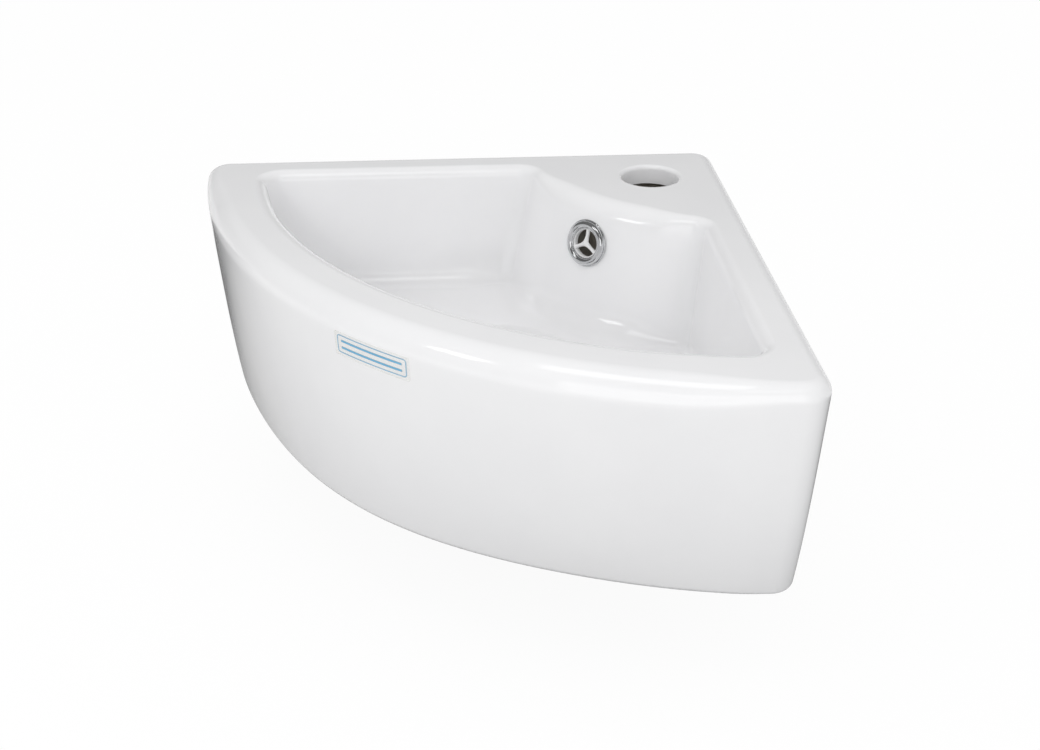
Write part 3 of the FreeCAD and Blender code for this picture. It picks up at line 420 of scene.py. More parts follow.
def china_block():
    """The casting as one closed skin: outside, rim, bowl, waste seat and tap hole, still
    solid below. The rim is rounder along the front than along the walls, and the floor
    sweeps up to the deck wall in a wide curve. The foot is a little out of round, as fired
    china is. The floor dips to the waste seat along a smooth step, level at both ends, and
    the edges of both holes are quarter circles turned about their axes."""
    scale = 1 - APRON_INSET / SIDE
    top = sector(0.0, SIDE, END_ROUND, CORNER_ROUND)
    foot = sector(SIDE_DRAFT, SIDE * scale, END_ROUND * scale, CORNER_ROUND * scale,
                  middle=FOOT_SHIFT)
    bearing = np.arctan2(-foot.points[:, 1] - FOOT_SHIFT, -foot.points[:, 0] - FOOT_SHIFT)
    warp = foot.varied(*WARP_SHARE) * foot_warp(bearing)
    foot.points -= foot.normals * warp[:, None]
    outside = wall_rows(top, foot, HEIGHT, top.varied(*RIM_ROUND), top.varied(*FOOT_ROUND),
                        top_side=1, late=APRON_LATE, middle_rows=30)
    rim, floor = bowl_outlines()
    bowl = wall_rows(rim, floor, BOWL_DEPTH, rim.varied(*MOUTH_ROUND), rim.varied(*FLOOR_ROUND),
                     top_side=-1)

    fall = np.linspace(0, 1, 18)
    dip_outer, dip_inner = 51.0, 33.0
    lip = np.linspace(0, np.pi / 2, 6)
    hole_radius, lip_round, hole_foot = 22.25, 1.2, 110.0
    waste = round_rows(WASTE, np.concatenate([
        dip_outer + (dip_inner - dip_outer) * fall,
        hole_radius + lip_round * (1 - np.sin(lip)), [hole_radius]]), np.concatenate([
            -BOWL_DEPTH - (SEAT_DEPTH - BOWL_DEPTH) * fall * fall * (3 - 2 * fall),
            -SEAT_DEPTH - lip_round * (1 - np.cos(lip)), [-hole_foot]]))

    tap_lip, tap_foot, flat = 2.5, 22.0, 0.4
    turn = np.linspace(0, np.pi / 2, 12)
    tap = round_rows(TAP, np.concatenate([
        [TAP_RADIUS + tap_lip + flat], TAP_RADIUS + tap_lip * (1 - np.sin(turn)), [TAP_RADIUS]]),
        np.concatenate([[0], -tap_lip * (1 - np.cos(turn)), [-tap_foot]]))

    rim_spacing, floor_spacing, foot_spacing = 7.0, 5.0, 30.0
    return build("basin_china", [
        grid(outside), grid(bowl), grid(waste), grid(tap), cap(waste[-1]), cap(tap[-1]),
        fill([outside[0, :, :2], bowl[0, :, :2], tap[0, :, :2]], 0.0, rim_spacing),
        fill([bowl[-1, :, :2], waste[0, :, :2]], -BOWL_DEPTH, floor_spacing),
        fill([outside[-1, :, :2]], -HEIGHT, foot_spacing),
    ])


def diagonal_block(name, corners, width):
    """A prism across the vertical plane of the diagonal, from (reach, depth) corners."""
    corners = np.array(corners)
    out = -corners[:, :1] / math.sqrt(2)
    rows = []
    for aside in (-width / 2, width / 2):
        shift = aside / math.sqrt(2)
        rows.append(np.column_stack([out - shift, out + shift, -corners[:, 1]]))
    return prism(name, np.array(rows))


def deck_face(depth, inward):
    """Reach of a surface that lies inward of the deck's bowl wall at a depth. It grows
    evenly with the depth, as the wall leans."""
    return DECK_RADIUS + DECK_SLOPE * depth - inward


def underside():
    """The hollow below the rim, around the bowl's shell, the waste boss and the duct: two
    prisms joined, less those three. It is remeshed, which softens its corners as slip
    casting does."""
    below = HEIGHT + 6
    coarse, corner_radius, setback = 0.35, 8, 2
    shell_top, duct_top = 9, 7

    def front(depth):
        """The hollow's outline from the room corner to the apron."""
        middle = FOOT_SHIFT * depth / HEIGHT
        return sector(SIDE_BLOCK, SIDE - CHINA - APRON_INSET * depth / HEIGHT, corner_radius,
                      corner_radius, middle=middle, density=coarse)

    def corner(depth):
        """The hollow's outline under the deck."""
        reach = deck_face(min(depth, BOWL_DEPTH), CHINA + setback)
        return sector(CORNER_WALL + SIDE_DRAFT * depth / HEIGHT, reach, corner_radius,
                      corner_radius, density=coarse)

    hollow = prism("hollow", np.array([level(front(depth), depth)
                                       for depth in (ROOF_DEPTH, below)]))
    behind = prism("behind", np.array([level(corner(depth), depth)
                                       for depth in (DECK_THICKNESS, below)]))
    rim, floor = bowl_outlines(CHINA, coarse)
    shell = prism("shell", np.array([level(rim, shell_top), level(floor, BOWL_DEPTH + CHINA)]))
    boss = prism("boss", round_rows(WASTE, [BOSS_RADIUS] * 2, [-BOWL_DEPTH, -BOSS_FOOT], 48))
    back = CHINA + CHANNEL_GAP + CHANNEL_SKIN
    waste_reach = np.linalg.norm(WASTE)
    duct = diagonal_block("duct", [
        (deck_face(ROOF_DEPTH, CHINA / 2), duct_top), (deck_face(ROOF_DEPTH, back), duct_top),
        (deck_face(BOSS_FOOT, back), BOSS_FOOT), (waste_reach, BOSS_FOOT),
        (waste_reach, BOWL_DEPTH + CHINA / 2),
        (deck_face(BOWL_DEPTH, CHINA / 2), BOWL_DEPTH + CHINA / 2),
    ], CHANNEL_WIDTH + 2 * CHANNEL_SKIN)
    combine(hollow, [("UNION", behind), ("DIFFERENCE", shell), ("DIFFERENCE", boss),
                     ("DIFFERENCE", duct)])
    soften = hollow.modifiers.new("soften", "REMESH")
    soften.mode = "VOXEL"
    soften.voxel_size = 4 * MM
    relax = hollow.modifiers.new("relax", "SMOOTH")
    relax.factor = 0.6
    relax.iterations = 6
    settle(hollow)
    return hollow


def overflow_axes():
    """The centre of the overflow's mouth, and unit vectors down the wall, sideways, and out
    of the wall."""
    reach = deck_face(OVERFLOW_DEPTH, 0) / math.sqrt(2)
    centre = np.array([-reach, -reach, -OVERFLOW_DEPTH])
    tilt = math.atan(DECK_SLOPE)
    flat = -math.cos(tilt) / math.sqrt(2)
    out = np.array([flat, flat, math.sin(tilt)])
    sideways = np.array([1, -1, 0]) / math.sqrt(2)
    return centre, (np.cross(sideways, out), sideways, out)


OVERFLOW_AXES = overflow_axes()


def axial_rows(centre, axes, radii, heights, count=72):
    """Rows of points on circles about a slanting axis."""
    first, second, axis = axes
    angle = np.arange(count) * 2 * np.pi / count
    ring = np.outer(np.cos(angle), first) + np.outer(np.sin(angle), second)
    radii = np.asarray(radii, float)[:, None, None]
    heights = np.asarray(heights, float)[:, None, None]
    return centre + ring * radii + axis * heights


def passages():
    """The overflow's hole and channel, the seat under the tap hole, and the four holes for
    wall bolts."""
    past, land, port_height, bite = 6, 1.8, 9, 17
    far = CHINA + CHANNEL_GAP
    bore = prism("bore", axial_rows(*OVERFLOW_AXES, [OVERFLOW_RADIUS] * 2, [past, land - far]))
    port_foot = BOSS_FOOT - CHANNEL_SKIN
    port_top = port_foot - port_height
    mouth = np.linalg.norm(WASTE) - bite
    channel = diagonal_block("channel", [
        (deck_face(ROOF_DEPTH, CHINA), ROOF_DEPTH), (deck_face(ROOF_DEPTH, far), ROOF_DEPTH),
        (deck_face(port_foot, far), port_foot), (mouth, port_foot), (mouth, port_top),
        (deck_face(port_top, CHINA), port_top),
    ], CHANNEL_WIDTH)
    combine(channel, [("UNION", bore)])
    tap_seat_radius, tap_seat_depth = 26.0, 11.6
    tools = [channel, prism("tap_seat", round_rows(TAP, [tap_seat_radius] * 2,
                                                   [-tap_seat_depth, -DECK_THICKNESS - 3], 72))]
    bolt_start, bolt_end = 9, -24
    for name in ("wall_bolts_x", "wall_bolts_y"):
        mount = mounts[name]
        middle, axis = np.array(mount["pos_m"]) / MM, np.array(mount["axis"])
        aside = np.array([axis[1], axis[0], 0])
        for sign in (-1, 1):
            spot = middle + aside * sign * mount["dims"]["spacing_x_mm"] / 2
            tools.append(prism("bolt_hole", axial_rows(
                spot, (aside, [0, 0, 1], axis), [mount["dims"]["hole_r_mm"]] * 2,
                [bolt_start, bolt_end], 40)))
    return tools


def wall_pad(mount):
    """A flat raised pad where the casting meets the wall: rounded rectangles that grow along
    a quarter circle behind the face, and then go straight back into the casting."""
    middle, axis = np.array(mount["pos_m"]) / MM, np.array(mount["axis"], float)
    aside = np.array([axis[1], axis[0], 0])
    half_length, half_height, corner, edge, root = 42.0, 20.0, 5.0, 1.5, 12.0
    middle = middle * (1 - axis)
    turn = np.linspace(np.pi / 2, 0, 7)
    rows = [rounded_loop(half_length - inset, half_height - inset, corner - inset, back)
            for inset, back in zip(edge * (1 - np.cos(turn)), edge * (1 - np.sin(turn)))]
    rows = np.array(rows + [rounded_loop(half_length, half_height, corner, root)])
    flat = rows[..., :1] * aside + rows[..., 1:2] * np.array([0, 0, 1]) - rows[..., 2:] * axis
    return prism("pad", middle + flat)


def rounded_loop(half_length, half_height, corner, back, steps=8):
    """A rectangle with rounded corners, centred, at a distance behind its own plane."""
    turn = np.linspace(0, np.pi / 2, steps)
    points = []
    for quarter in range(4):
        angle = turn + quarter * np.pi / 2
        sign = np.array([(1, 1), (-1, 1), (-1, -1), (1, -1)][quarter])
        hub = sign * np.array([half_length - corner, half_height - corner])
        points.append(hub + corner * np.stack([np.cos(angle), np.sin(angle)], axis=1))
    points = np.concatenate(points)
    return np.column_stack([points, np.full(len(points), back)])


def basin_china():
    """The whole casting."""
    piece = china_block()
    for _ in range(2):
        piece.data.materials.append(None)
    tools = [("UNION", wall_pad(mounts[name])) for name in ("wall_face_x", "wall_face_y")]
    tools += [("DIFFERENCE", underside())] + [("DIFFERENCE", tool) for tool in passages()]
    combine(piece, tools)
    smooth(piece.data, 32)
    return piece


china = basin_china()
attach(china, "basin")
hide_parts("basin_body")


# ---------------------------------------------------------------- the overflow's trim
def oval_arc(middle, across, up, first, last, steps=14):
    """Points on part of an ellipse, between two angles in degrees."""
    angle = np.radians(np.linspace(first, last, steps))
    return np.stack([middle[0] + across * np.cos(angle), middle[1] + up * np.sin(angle)], axis=1)


def trim_ring():
    """The bright ring: a thin flange on the china, a fat rolled bead on it, and a neck that
    reaches into the hole. One closed profile of (radius, height) is turned about the
    overflow's axis."""
    flange, bead, crest, throat, neck, tail = 14.1, 2.1, 3.4, 8.7, 10.2, -11.0
    flange_height, flange_edge, seat, bevel = 1.05, 0.45, 0.05, 0.2
    bead_inset, bead_height, groove_out, groove_down = 0.8, 1.2, 0.08, 0.06
    lip_across, lip_up = 0.5, 0.9
    bead_middle = (flange - bead_inset - bead, bead_height)
    profile = np.concatenate([
        [(throat, tail), (neck, tail), (neck, seat), (flange - bevel, seat),
         (flange, seat + bevel)],
        oval_arc((flange - flange_edge, flange_height - flange_edge), flange_edge, flange_edge,
                 0, 90, 6),
        [(bead_middle[0] + bead + groove_out, flange_height - groove_down)],
        oval_arc(bead_middle, bead, crest - bead_height, 8, 150, 30),
        oval_arc((throat + lip_across, bead_height), lip_across, lip_up, 80, 180, 8),
        [(throat, tail)],
    ])
    return build("overflow_ring", [grid(axial_rows(*OVERFLOW_AXES, *profile.T, count=120))], 50)


def trim_web(turn):
    """One arm of the ring's insert: an oval section carried from the hub to the throat,
    wider at both ends, its crest falling from the hub."""
    centre, axes = OVERFLOW_AXES
    out = np.cos(turn) * -axes[0] + np.sin(turn) * axes[1]
    side = np.cross(axes[2], out)
    start, end, hub_spread, flare_start, flare_run = -1.5, 8.8, 2.6, 5, 3.8
    slim, hub_gain, flare_gain, blunt = 1.05, 0.75, 0.35, 0.9
    low_crest, hub_rise, half_depth = 1.5, 0.7, 1.1
    reach = np.linspace(start, end, 30)[:, None]
    near = np.exp(-(reach / hub_spread) ** 2)
    far = np.clip((reach - flare_start) / flare_run, 0, 1) ** 2
    half_width = slim + hub_gain * near + flare_gain * far
    half_width[0] = blunt
    crest = low_crest + hub_rise * near
    angle = np.linspace(0, 2 * np.pi, 25)[None, :-1]
    across = half_width * np.sign(np.cos(angle)) * np.abs(np.cos(angle)) ** 0.8
    lift = crest - half_depth + half_depth * np.sin(angle)
    rows = (centre + reach[..., None] * out + across[..., None] * side
            + lift[..., None] * axes[2])
    return prism("web", rows)


def trim_insert():
    """The three-armed insert: three webs, and the thin band that holds them in the ring's
    throat, a closed profile turned about the overflow's axis."""
    band_outer, band_inner, band_top, band_foot = 8.68, 8.1, 1.3, -1.8
    bevel_across, bevel_down = 0.2, 0.3
    profile = np.array([(band_inner, band_foot), (band_outer, band_foot), (band_outer, band_top),
                        (band_inner + bevel_across, band_top),
                        (band_inner, band_top - bevel_down), (band_inner, band_foot)])
    band = build("overflow_insert", [grid(axial_rows(*OVERFLOW_AXES, *profile.T, count=120))])
    webs = [("UNION", trim_web(turn)) for turn in np.radians([0, 120, 240])]
    combine(band, webs)
    smooth(band.data, 40)
    return band


ring = trim_ring()
insert = trim_insert()
for piece, node in ((ring, "overflow_trim_ring"), (insert, "overflow_spider")):
    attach(piece, "basin")
    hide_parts(node)


# ---------------------------------------------------------------- the film on the apron
def apron_film():
    """A thin clear film that follows the apron.

    Its face is a grid over length and height, mapped round the bow and down the wall. Near
    its ends the height shrinks along a quarter circle, which rounds its corners. Each row is
    a closed loop over the outer face and back over the inner one. The UV map holds the
    length and height in millimetres from the film's middle."""
    first_angle, last_angle, top_depth, foot_depth = 43.2, 52.4, 12.6, 26.2
    gap, thickness, corner = 0.06, 0.15, 1.3
    middle_angle = math.radians((first_angle + last_angle) / 2)
    middle_depth = (top_depth + foot_depth) / 2
    reach = SIDE - APRON_INSET * lean_share(middle_depth / HEIGHT, APRON_LATE)
    half_length = math.radians(last_angle - first_angle) * reach / 2
    half_height = (foot_depth - top_depth) / 2
    tilt = math.atan(APRON_INSET * (1 - APRON_LATE) / HEIGHT)

    ease = np.sin(np.linspace(-np.pi / 2, np.pi / 2, 61))[:, None]
    along = half_length * ease
    past = np.clip(np.abs(along) - (half_length - corner), 0, corner)
    height = half_height - corner + np.sqrt(corner ** 2 - past ** 2)
    across = np.linspace(1, -1, 14)[None]
    up = np.concatenate([height * across, height * across[:, ::-1]], axis=1)
    lift = np.concatenate([across * 0 + gap + thickness, across * 0 + gap], axis=1)
    depth = middle_depth - up
    angle = middle_angle + along / reach
    share = lean_share(depth / HEIGHT, APRON_LATE)
    hub = FOOT_SHIFT * share
    away = SIDE - (APRON_INSET - foot_warp(angle)) * share + lift * math.cos(tilt)
    rows = np.stack([-hub - away * np.cos(angle), -hub - away * np.sin(angle),
                     -depth - lift * math.sin(tilt)], axis=-1)
    film = build("label_film", [grid(rows), cap(rows[0]), cap(rows[-1])])

    spots = np.empty(len(film.data.vertices) * 3)
    film.data.vertices.foreach_get("co", spots)
    spots = spots.reshape(-1, 3) / MM
    hub = FOOT_SHIFT * lean_share(-spots[:, 2] / HEIGHT, APRON_LATE)
    turn = np.arctan2(-spots[:, 1] - hub, -spots[:, 0] - hub) - middle_angle
    places = np.stack([turn * reach, spots[:, 2] + middle_depth], axis=1)
    corners = np.empty(len(film.data.loops), int)
    film.data.loops.foreach_get("vertex_index", corners)
    film.data.uv_layers.new(name="across").data.foreach_set("uv", places[corners].ravel())
    return film


film = apron_film()
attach(film, "basin")
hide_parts("apron_film")


# ---------------------------------------------------------------- materials
def new_material(name, **values):
    """A material with one principled shader, whose plain values are set on its sockets."""
    material = bpy.data.materials.new(name)
    material.use_nodes = True
    tree = material.node_tree
    shader = tree.nodes["Principled BSDF"]
    for key, number in values.items():
        shader.inputs[key.replace("_", " ")].default_value = number
    return material, tree, shader


def texture(tree, kind, stretch=(1, 1, 1), **values):
    """A texture on Object coordinates, stretched along the axes."""
    place = tree.nodes.new("ShaderNodeTexCoord")
    mapping = tree.nodes.new("ShaderNodeMapping")
    mapping.inputs["Scale"].default_value = stretch
    node = tree.nodes.new(kind)
    for key, number in values.items():
        node.inputs[key].default_value = number
    tree.links.new(place.outputs["Object"], mapping.inputs["Vector"])
    tree.links.new(mapping.outputs["Vector"], node.inputs["Vector"])
    return node


def spread(tree, source, target, low, high, start=0.35, end=0.65):
    """Carry a pattern of 0 to 1 to a socket as values or colours from low to high."""
    if isinstance(low, tuple):
        node = tree.nodes.new("ShaderNodeValToRGB")
        node.color_ramp.elements[0].color = low + (1,)
        node.color_ramp.elements[1].color = high + (1,)
        node.color_ramp.elements[0].position = start
        node.color_ramp.elements[1].position = end
        tree.links.new(source, node.inputs["Fac"])
    else:
        node = tree.nodes.new("ShaderNodeMapRange")
        for key, number in zip(("From Min", "From Max", "To Min", "To Max"),
                               (start, end, low, high)):
            node.inputs[key].default_value = number
        tree.links.new(source, node.inputs["Value"])
    tree.links.new(node.outputs[0], target)


def relief(tree, shader, layers):
    """Bumps, one on the other, from (pattern, height in metres)."""
    previous = None
    for pattern, height in layers:
        bump = tree.nodes.new("ShaderNodeBump")
        bump.inputs["Distance"].default_value = height
        tree.links.new(pattern.outputs[0], bump.inputs["Height"])
        if previous:
            tree.links.new(previous.outputs["Normal"], bump.inputs["Normal"])
        previous = bump
    tree.links.new(previous.outputs["Normal"], shader.inputs["Normal"])


NOISE = "ShaderNodeTexNoise"


def glaze():
    """White china under clear glaze: a faint cool mottle where the glaze lies thicker, long
    shallow ripples, and the fine peel that firing leaves."""
    material, tree, shader = new_material("china_glaze", IOR=1.5, Coat_Weight=0.5,
                                          Coat_Roughness=0.03, Coat_IOR=1.5)
    mottle = texture(tree, NOISE, Scale=14, Detail=4, Roughness=0.55)
    spread(tree, mottle.outputs[0], shader.inputs["Base Color"],
           (0.880, 0.880, 0.890), (0.900, 0.900, 0.908))
    film_noise = texture(tree, NOISE, Scale=45, Detail=3)
    spread(tree, film_noise.outputs[0], shader.inputs["Roughness"], 0.05, 0.11)
    relief(tree, shader, [(texture(tree, NOISE, Scale=16, Detail=1), 0.00035),
                          (texture(tree, NOISE, Scale=320, Detail=2), 0.000006)])
    return material


def bare_clay():
    """Fired clay without glaze: matt and gritty, with a random buff tone. The tone is held far
    darker than the off-white body as painted shade for the hollows underneath.
    """
    material, tree, shader = new_material("bare_clay", IOR=1.45)
    tone = texture(tree, NOISE, Scale=38, Detail=6, Roughness=0.65)
    # Painted shade: the base colour lies well below real unglazed china, so that the hollows it
    # lines read dark.
    spread(tree, tone.outputs[0], shader.inputs["Base Color"], (0.40, 0.36, 0.31),
           (0.52, 0.48, 0.42))
    grit = texture(tree, NOISE, Scale=900, Detail=4, Roughness=0.7)
    spread(tree, grit.outputs[0], shader.inputs["Roughness"], 0.75, 0.95)
    relief(tree, shader, [(tone, 0.0012), (grit, 0.00012)])
    return material


def plated(name, low, high, smoothest, roughest):
    """Polished plate: faint clouding and the fine hairlines of a wiped surface."""
    material, tree, shader = new_material(name, Metallic=1.0)
    cloud = texture(tree, NOISE, Scale=70, Detail=4)
    spread(tree, cloud.outputs[0], shader.inputs["Base Color"], low, high)
    hair = texture(tree, NOISE, stretch=(1, 1, 14), Scale=420, Detail=3)
    spread(tree, hair.outputs[0], shader.inputs["Roughness"], smoothest, roughest)
    relief(tree, shader, [(hair, 0.0000015)])
    return material


def moulded(name, low, high, smoothest, roughest, grain, height, **values):
    """Moulded rubber or plastic: a soft mottle and a fine even grain."""
    material, tree, shader = new_material(name, **values)
    cloud = texture(tree, NOISE, Scale=55, Detail=5)
    spread(tree, cloud.outputs[0], shader.inputs["Base Color"], low, high)
    skin = texture(tree, NOISE, Scale=grain, Detail=3, Roughness=0.6)
    spread(tree, skin.outputs[0], shader.inputs["Roughness"], smoothest, roughest)
    relief(tree, shader, [(skin, height)])
    return material


def printed_film():
    """Clear, slightly warm film with a pale blue frame and two plain lines printed on it.

    The UV map is in millimetres from the film's middle. The frame is where a rounded
    rectangle's distance lies within half a line's width of its border; each plain line is a
    band of height, cut off at both ends."""
    material, tree, shader = new_material("printed_film", Roughness=0.12, IOR=1.46)
    uv = tree.nodes.new("ShaderNodeUVMap")
    uv.uv_map = "across"
    split = tree.nodes.new("ShaderNodeSeparateXYZ")
    tree.links.new(uv.outputs[0], split.inputs[0])

    def math_node(operation, *values):
        node = tree.nodes.new("ShaderNodeMath")
        node.operation = operation
        for socket, value in zip(node.inputs, values):
            if isinstance(value, (int, float)):
                socket.default_value = value
            else:
                tree.links.new(value, socket)
        return node.outputs[0]

    def band(value, edge, soft):
        """1 below an edge, falling to 0 over a soft width."""
        node = tree.nodes.new("ShaderNodeMapRange")
        for key, number in zip(("From Min", "From Max", "To Min", "To Max"),
                               (edge - soft, edge + soft, 1, 0)):
            node.inputs[key].default_value = number
        tree.links.new(value, node.inputs["Value"])
        return node.outputs[0]

    half_length, half_height, corner, line, soft = 23.2, 4.9, 1.6, 0.26, 0.12
    across = math_node("ABSOLUTE", split.outputs["X"])
    up = math_node("ABSOLUTE", split.outputs["Y"])
    past = [math_node("MAXIMUM", math_node("SUBTRACT", value, half - corner), 0.0)
            for value, half in ((across, half_length), (up, half_height))]
    squares = [math_node("MULTIPLY", value, value) for value in past]
    distance = math_node("SQRT", math_node("ADD", *squares))
    frame_line = band(math_node("ABSOLUTE", math_node("SUBTRACT", distance, corner)), line, soft)
    row_half_length, row_height, row_half_width = 20.5, 1.9, 0.55
    row = math_node("ABSOLUTE", math_node("SUBTRACT", up, row_height))
    row_soft, row_end_soft, frame_ink, row_ink = 0.25, 0.3, 0.55, 0.7
    rows = math_node("MULTIPLY", band(row, row_half_width, row_soft),
                     band(across, row_half_length, row_end_soft))
    print_mask = math_node("MAXIMUM", math_node("MULTIPLY", frame_line, frame_ink),
                           math_node("MULTIPLY", rows, row_ink))
    spread(tree, print_mask, shader.inputs["Base Color"], (0.94, 0.93, 0.88),
           (0.12, 0.50, 0.80), 0.0, 0.6)
    spread(tree, print_mask, shader.inputs["Alpha"], 0.12, 0.95, 0.0, 1.0)
    return material


china.data.materials[0] = glaze()
china.data.materials[1] = bare_clay()
chrome = plated("chrome", (0.62, 0.63, 0.64), (0.70, 0.70, 0.71), 0.03, 0.09)
ring.data.materials.append(chrome)
insert.data.materials.append(chrome)
film.data.materials.append(printed_film())
finishes = {
    "chrome_plate": chrome,
    "brass": plated("brass", (0.72, 0.52, 0.25), (0.80, 0.60, 0.32), 0.12, 0.28),
    "spring_steel": plated("spring_steel", (0.55, 0.55, 0.56), (0.62, 0.62, 0.62), 0.12, 0.25),
    "black_rubber": moulded("black_rubber", (0.016, 0.016, 0.017), (0.030, 0.029, 0.029),
                            0.55, 0.75, 800, 0.00003),
    "grey_gasket": moulded("grey_gasket", (0.20, 0.20, 0.21), (0.27, 0.27, 0.275),
                           0.6, 0.8, 700, 0.00003),
    "white_nylon": moulded("white_nylon", (0.70, 0.70, 0.67), (0.76, 0.76, 0.73),
                           0.35, 0.5, 600, 0.00001, Subsurface_Weight=0.1),
}
for subpart in frame["record"]["subparts"]:
    finish = finishes.get(subpart["material_slot"])
    if finish:
        for holder in bpy.data.objects[subpart["node"]].material_slots:
            holder.material = finish


# ---------------------------------------------------------------- camera, light and floor
def place_camera():
    """The photograph's view: turned and tipped as fitted to the outline of the basin."""
    yaw, pitch, roll = 0.0729, 0.4974, 0.0023
    spot = np.array([-185.95, -873.28, 313.90])
    focal_pixels, image_width, sensor = 1435.53, 1040, 36.0
    ahead = np.array([math.sin(yaw) * math.cos(pitch), math.cos(yaw) * math.cos(pitch),
                      -math.sin(pitch)])
    right = np.array([math.cos(yaw), -math.sin(yaw), 0])
    up = np.cross(right, ahead)
    right, up = (math.cos(roll) * right + math.sin(roll) * up,
                 math.cos(roll) * up - math.sin(roll) * right)
    data = bpy.data.cameras.new("camera")
    data.sensor_width = sensor
    data.lens = focal_pixels / image_width * sensor
    data.clip_start, data.clip_end = 0.01, 50
    camera = bpy.data.objects.new("camera", data)
    turn = np.eye(4)
    turn[:3, 0], turn[:3, 1], turn[:3, 2] = right, up, -ahead
    turn[:3, 3] = spot * MM
    camera.matrix_world = Matrix(turn.tolist())
    bpy.context.scene.collection.objects.link(camera)
    bpy.context.scene.camera = camera


def softbox(name, bearing, height_angle, distance, width, height, radiance):
    """A rectangular light that faces the basin. bearing is measured from +Y towards +X, and
    radiance is the brightness of its face, where 1 is that of a white wall in the studio."""
    aim = Vector((-0.14, -0.17, -0.03))
    bearing, height_angle = math.radians(bearing), math.radians(height_angle)
    way = Vector((math.sin(bearing) * math.cos(height_angle),
                  math.cos(bearing) * math.cos(height_angle), math.sin(height_angle)))
    data = bpy.data.lights.new(name, "AREA")
    data.shape = "RECTANGLE"
    data.size, data.size_y = width, height
    data.energy = radiance * math.pi * width * height
    lamp = bpy.data.objects.new(name, data)
    lamp.location = aim + way * distance
    lamp.rotation_mode = "QUATERNION"
    lamp.rotation_quaternion = (-way).to_track_quat("-Z", "Y")
    bpy.context.scene.collection.objects.link(lamp)


def ray_kind(tree, *kinds):
    """1 for rays of any of the named kinds, and otherwise 0."""
    rays = tree.nodes.new("ShaderNodeLightPath")
    total = rays.outputs[kinds[0]]
    for kind in kinds[1:]:
        larger = tree.nodes.new("ShaderNodeMath")
        larger.operation = "MAXIMUM"
        tree.links.new(total, larger.inputs[0])
        tree.links.new(rays.outputs[kind], larger.inputs[1])
        total = larger.outputs[0]
    return total


def grey_ramp(tree, source, target, low, high, stops):
    """Carry a value between low and high to a colour socket as greys, given at stops."""
    share = tree.nodes.new("ShaderNodeMapRange")
    share.inputs["From Min"].default_value, share.inputs["From Max"].default_value = low, high
    tree.links.new(source, share.inputs["Value"])
    ramp = tree.nodes.new("ShaderNodeValToRGB")
    while len(ramp.color_ramp.elements) < len(stops):
        ramp.color_ramp.elements.new(0.5)
    for element, (place, grey) in zip(ramp.color_ramp.elements, stops):
        element.position = (place - low) / (high - low)
        element.color = (grey, grey, grey, 1)
    tree.links.new(share.outputs[0], ramp.inputs["Fac"])
    tree.links.new(ramp.outputs["Color"], target)


def white_surroundings():
    """White all round that lights the basin at a plain level, most of it from a ring half-way
    up. The camera sees it at full white. The glaze and the chrome see it pale at the horizon
    and dim overhead, as a studio's ceiling is."""
    world = bpy.data.worlds.new("studio")
    world.use_nodes = True
    bpy.context.scene.world = world
    tree = world.node_tree
    lighting = tree.nodes["Background"]
    lighting.inputs["Strength"].default_value = 1.0
    seen = tree.nodes.new("ShaderNodeBackground")
    mirrored = tree.nodes.new("ShaderNodeBackground")
    way = tree.nodes.new("ShaderNodeTexCoord")
    split = tree.nodes.new("ShaderNodeSeparateXYZ")
    tree.links.new(way.outputs["Generated"], split.inputs[0])
    grey_ramp(tree, split.outputs["Z"], lighting.inputs["Color"], -1, 1,
              ((0.29, 0.32), (0.40, 1.18), (0.71, 1.18), (0.83, 0.59)))
    grey_ramp(tree, split.outputs["Z"], mirrored.inputs["Color"], -1, 1,
              ((0.02, 0.52), (0.12, 0.32), (0.3, 0.16), (1.0, 0.2)))
    result = lighting
    for kinds, other in ((("Is Glossy Ray",), mirrored),
                         (("Is Camera Ray", "Is Transmission Ray"), seen)):
        mix = tree.nodes.new("ShaderNodeMixShader")
        tree.links.new(ray_kind(tree, *kinds), mix.inputs[0])
        tree.links.new(result.outputs[0], mix.inputs[1])
        tree.links.new(other.outputs[0], mix.inputs[2])
        result = mix
    seen.inputs["Color"].default_value = (1, 1, 1, 1)
    tree.links.new(result.outputs[0], tree.nodes["World Output"].inputs["Surface"])


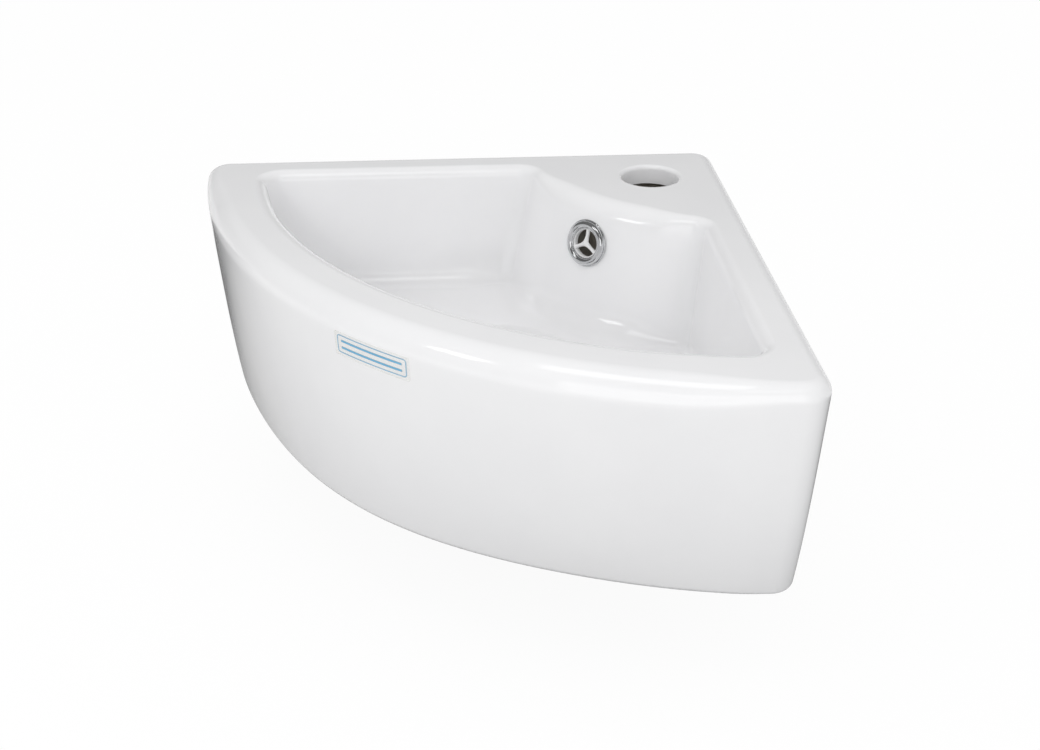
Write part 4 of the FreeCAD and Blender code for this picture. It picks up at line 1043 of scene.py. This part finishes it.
def studio_floor():
    """A pale floor just under the waste. The camera sees it white but for the basin's soft
    shadow. In the glaze it carries a painted shadow: dark towards the back of the basin, pale
    beyond. What it throws back as soft light is darker near the basin: painted shade."""
    half = 6.0
    low = cad_low.z - 0.5 * MM
    rows = np.array([[(-half, -half, low), (half, -half, low)],
                     [(-half, half, low), (half, half, low)]]) / MM
    floor = build("floor", [grid(rows, closed=False)])
    material, tree, shader = new_material("floor_white", Roughness=1.0,
                                          Specular_IOR_Level=0.0)
    place = tree.nodes.new("ShaderNodeTexCoord")
    behind = tree.nodes.new("ShaderNodeVectorMath")
    behind.operation = "DOT_PRODUCT"
    behind.inputs[1].default_value = (0.6, 1.0, 0.0)
    tree.links.new(place.outputs["Object"], behind.inputs[0])
    away = tree.nodes.new("ShaderNodeVectorMath")
    away.operation = "DISTANCE"
    away.inputs[1].default_value = (-0.03, -0.14, low)
    tree.links.new(place.outputs["Object"], away.inputs[0])
    painted_shade_picks = [tree.nodes.new("ShaderNodeMix") for _ in range(2)]
    for pick, kind in zip(painted_shade_picks, ("Is Glossy Ray", "Is Camera Ray")):
        pick.data_type = "RGBA"
        tree.links.new(ray_kind(tree, kind), pick.inputs[0])
    # Painted shade: the floor's colour for soft light is darker near the basin, which darkens the
    # apron's foot.
    grey_ramp(tree, away.outputs["Value"], painted_shade_picks[0].inputs[6], 0, 1,
              ((0.18, 0.12), (0.30, 0.45), (0.42, 0.85)))
    # Painted shadow: for glossy rays the floor is dark just behind the basin and pale again beyond,
    # in place of the basin's shadow there.
    grey_ramp(tree, behind.outputs["Value"], painted_shade_picks[0].inputs[7], -0.5, 0.5,
              ((-0.45, 0.95), (-0.34, 0.78), (-0.25, 0.6), (-0.163, 0.38), (-0.07, 0.12),
               (0.05, 0.12), (0.08, 0.85)))
    tree.links.new(painted_shade_picks[0].outputs[2], painted_shade_picks[1].inputs[6])
    painted_shade_picks[1].inputs[7].default_value = (1, 1, 1, 1)
    tree.links.new(painted_shade_picks[1].outputs[2], shader.inputs["Base Color"])
    white = tree.nodes.new("ShaderNodeEmission")
    white.inputs["Color"].default_value = (1, 1, 1, 1)
    share = tree.nodes.new("ShaderNodeMath")
    share.operation = "MULTIPLY"
    share.inputs[1].default_value = 0.94
    tree.links.new(ray_kind(tree, "Is Camera Ray", "Is Transmission Ray"), share.inputs[0])
    mix = tree.nodes.new("ShaderNodeMixShader")
    tree.links.new(share.outputs[0], mix.inputs[0])
    tree.links.new(shader.outputs[0], mix.inputs[1])
    tree.links.new(white.outputs[0], mix.inputs[2])
    tree.links.new(mix.outputs[0], tree.nodes["Material Output"].inputs["Surface"])
    floor.data.materials.append(material)


def studio():
    """Soft white light from all round, a high softbox in front, one on each side, and a
    broad low one in front."""
    white_surroundings()
    softbox("high_softbox", -160, 70, 0.75, 0.38, 0.28, 1.45)
    softbox("left_softbox", -115, 40, 1.1, 0.24, 0.20, 3.4)
    softbox("right_softbox", 165, 50, 0.85, 0.26, 0.20, 0.6)
    softbox("front_fill", -172, 10, 1.4, 1.4, 1.2, 1.0)
    studio_floor()


place_camera()
studio()
bpy.context.scene.view_settings.view_transform = "Standard"
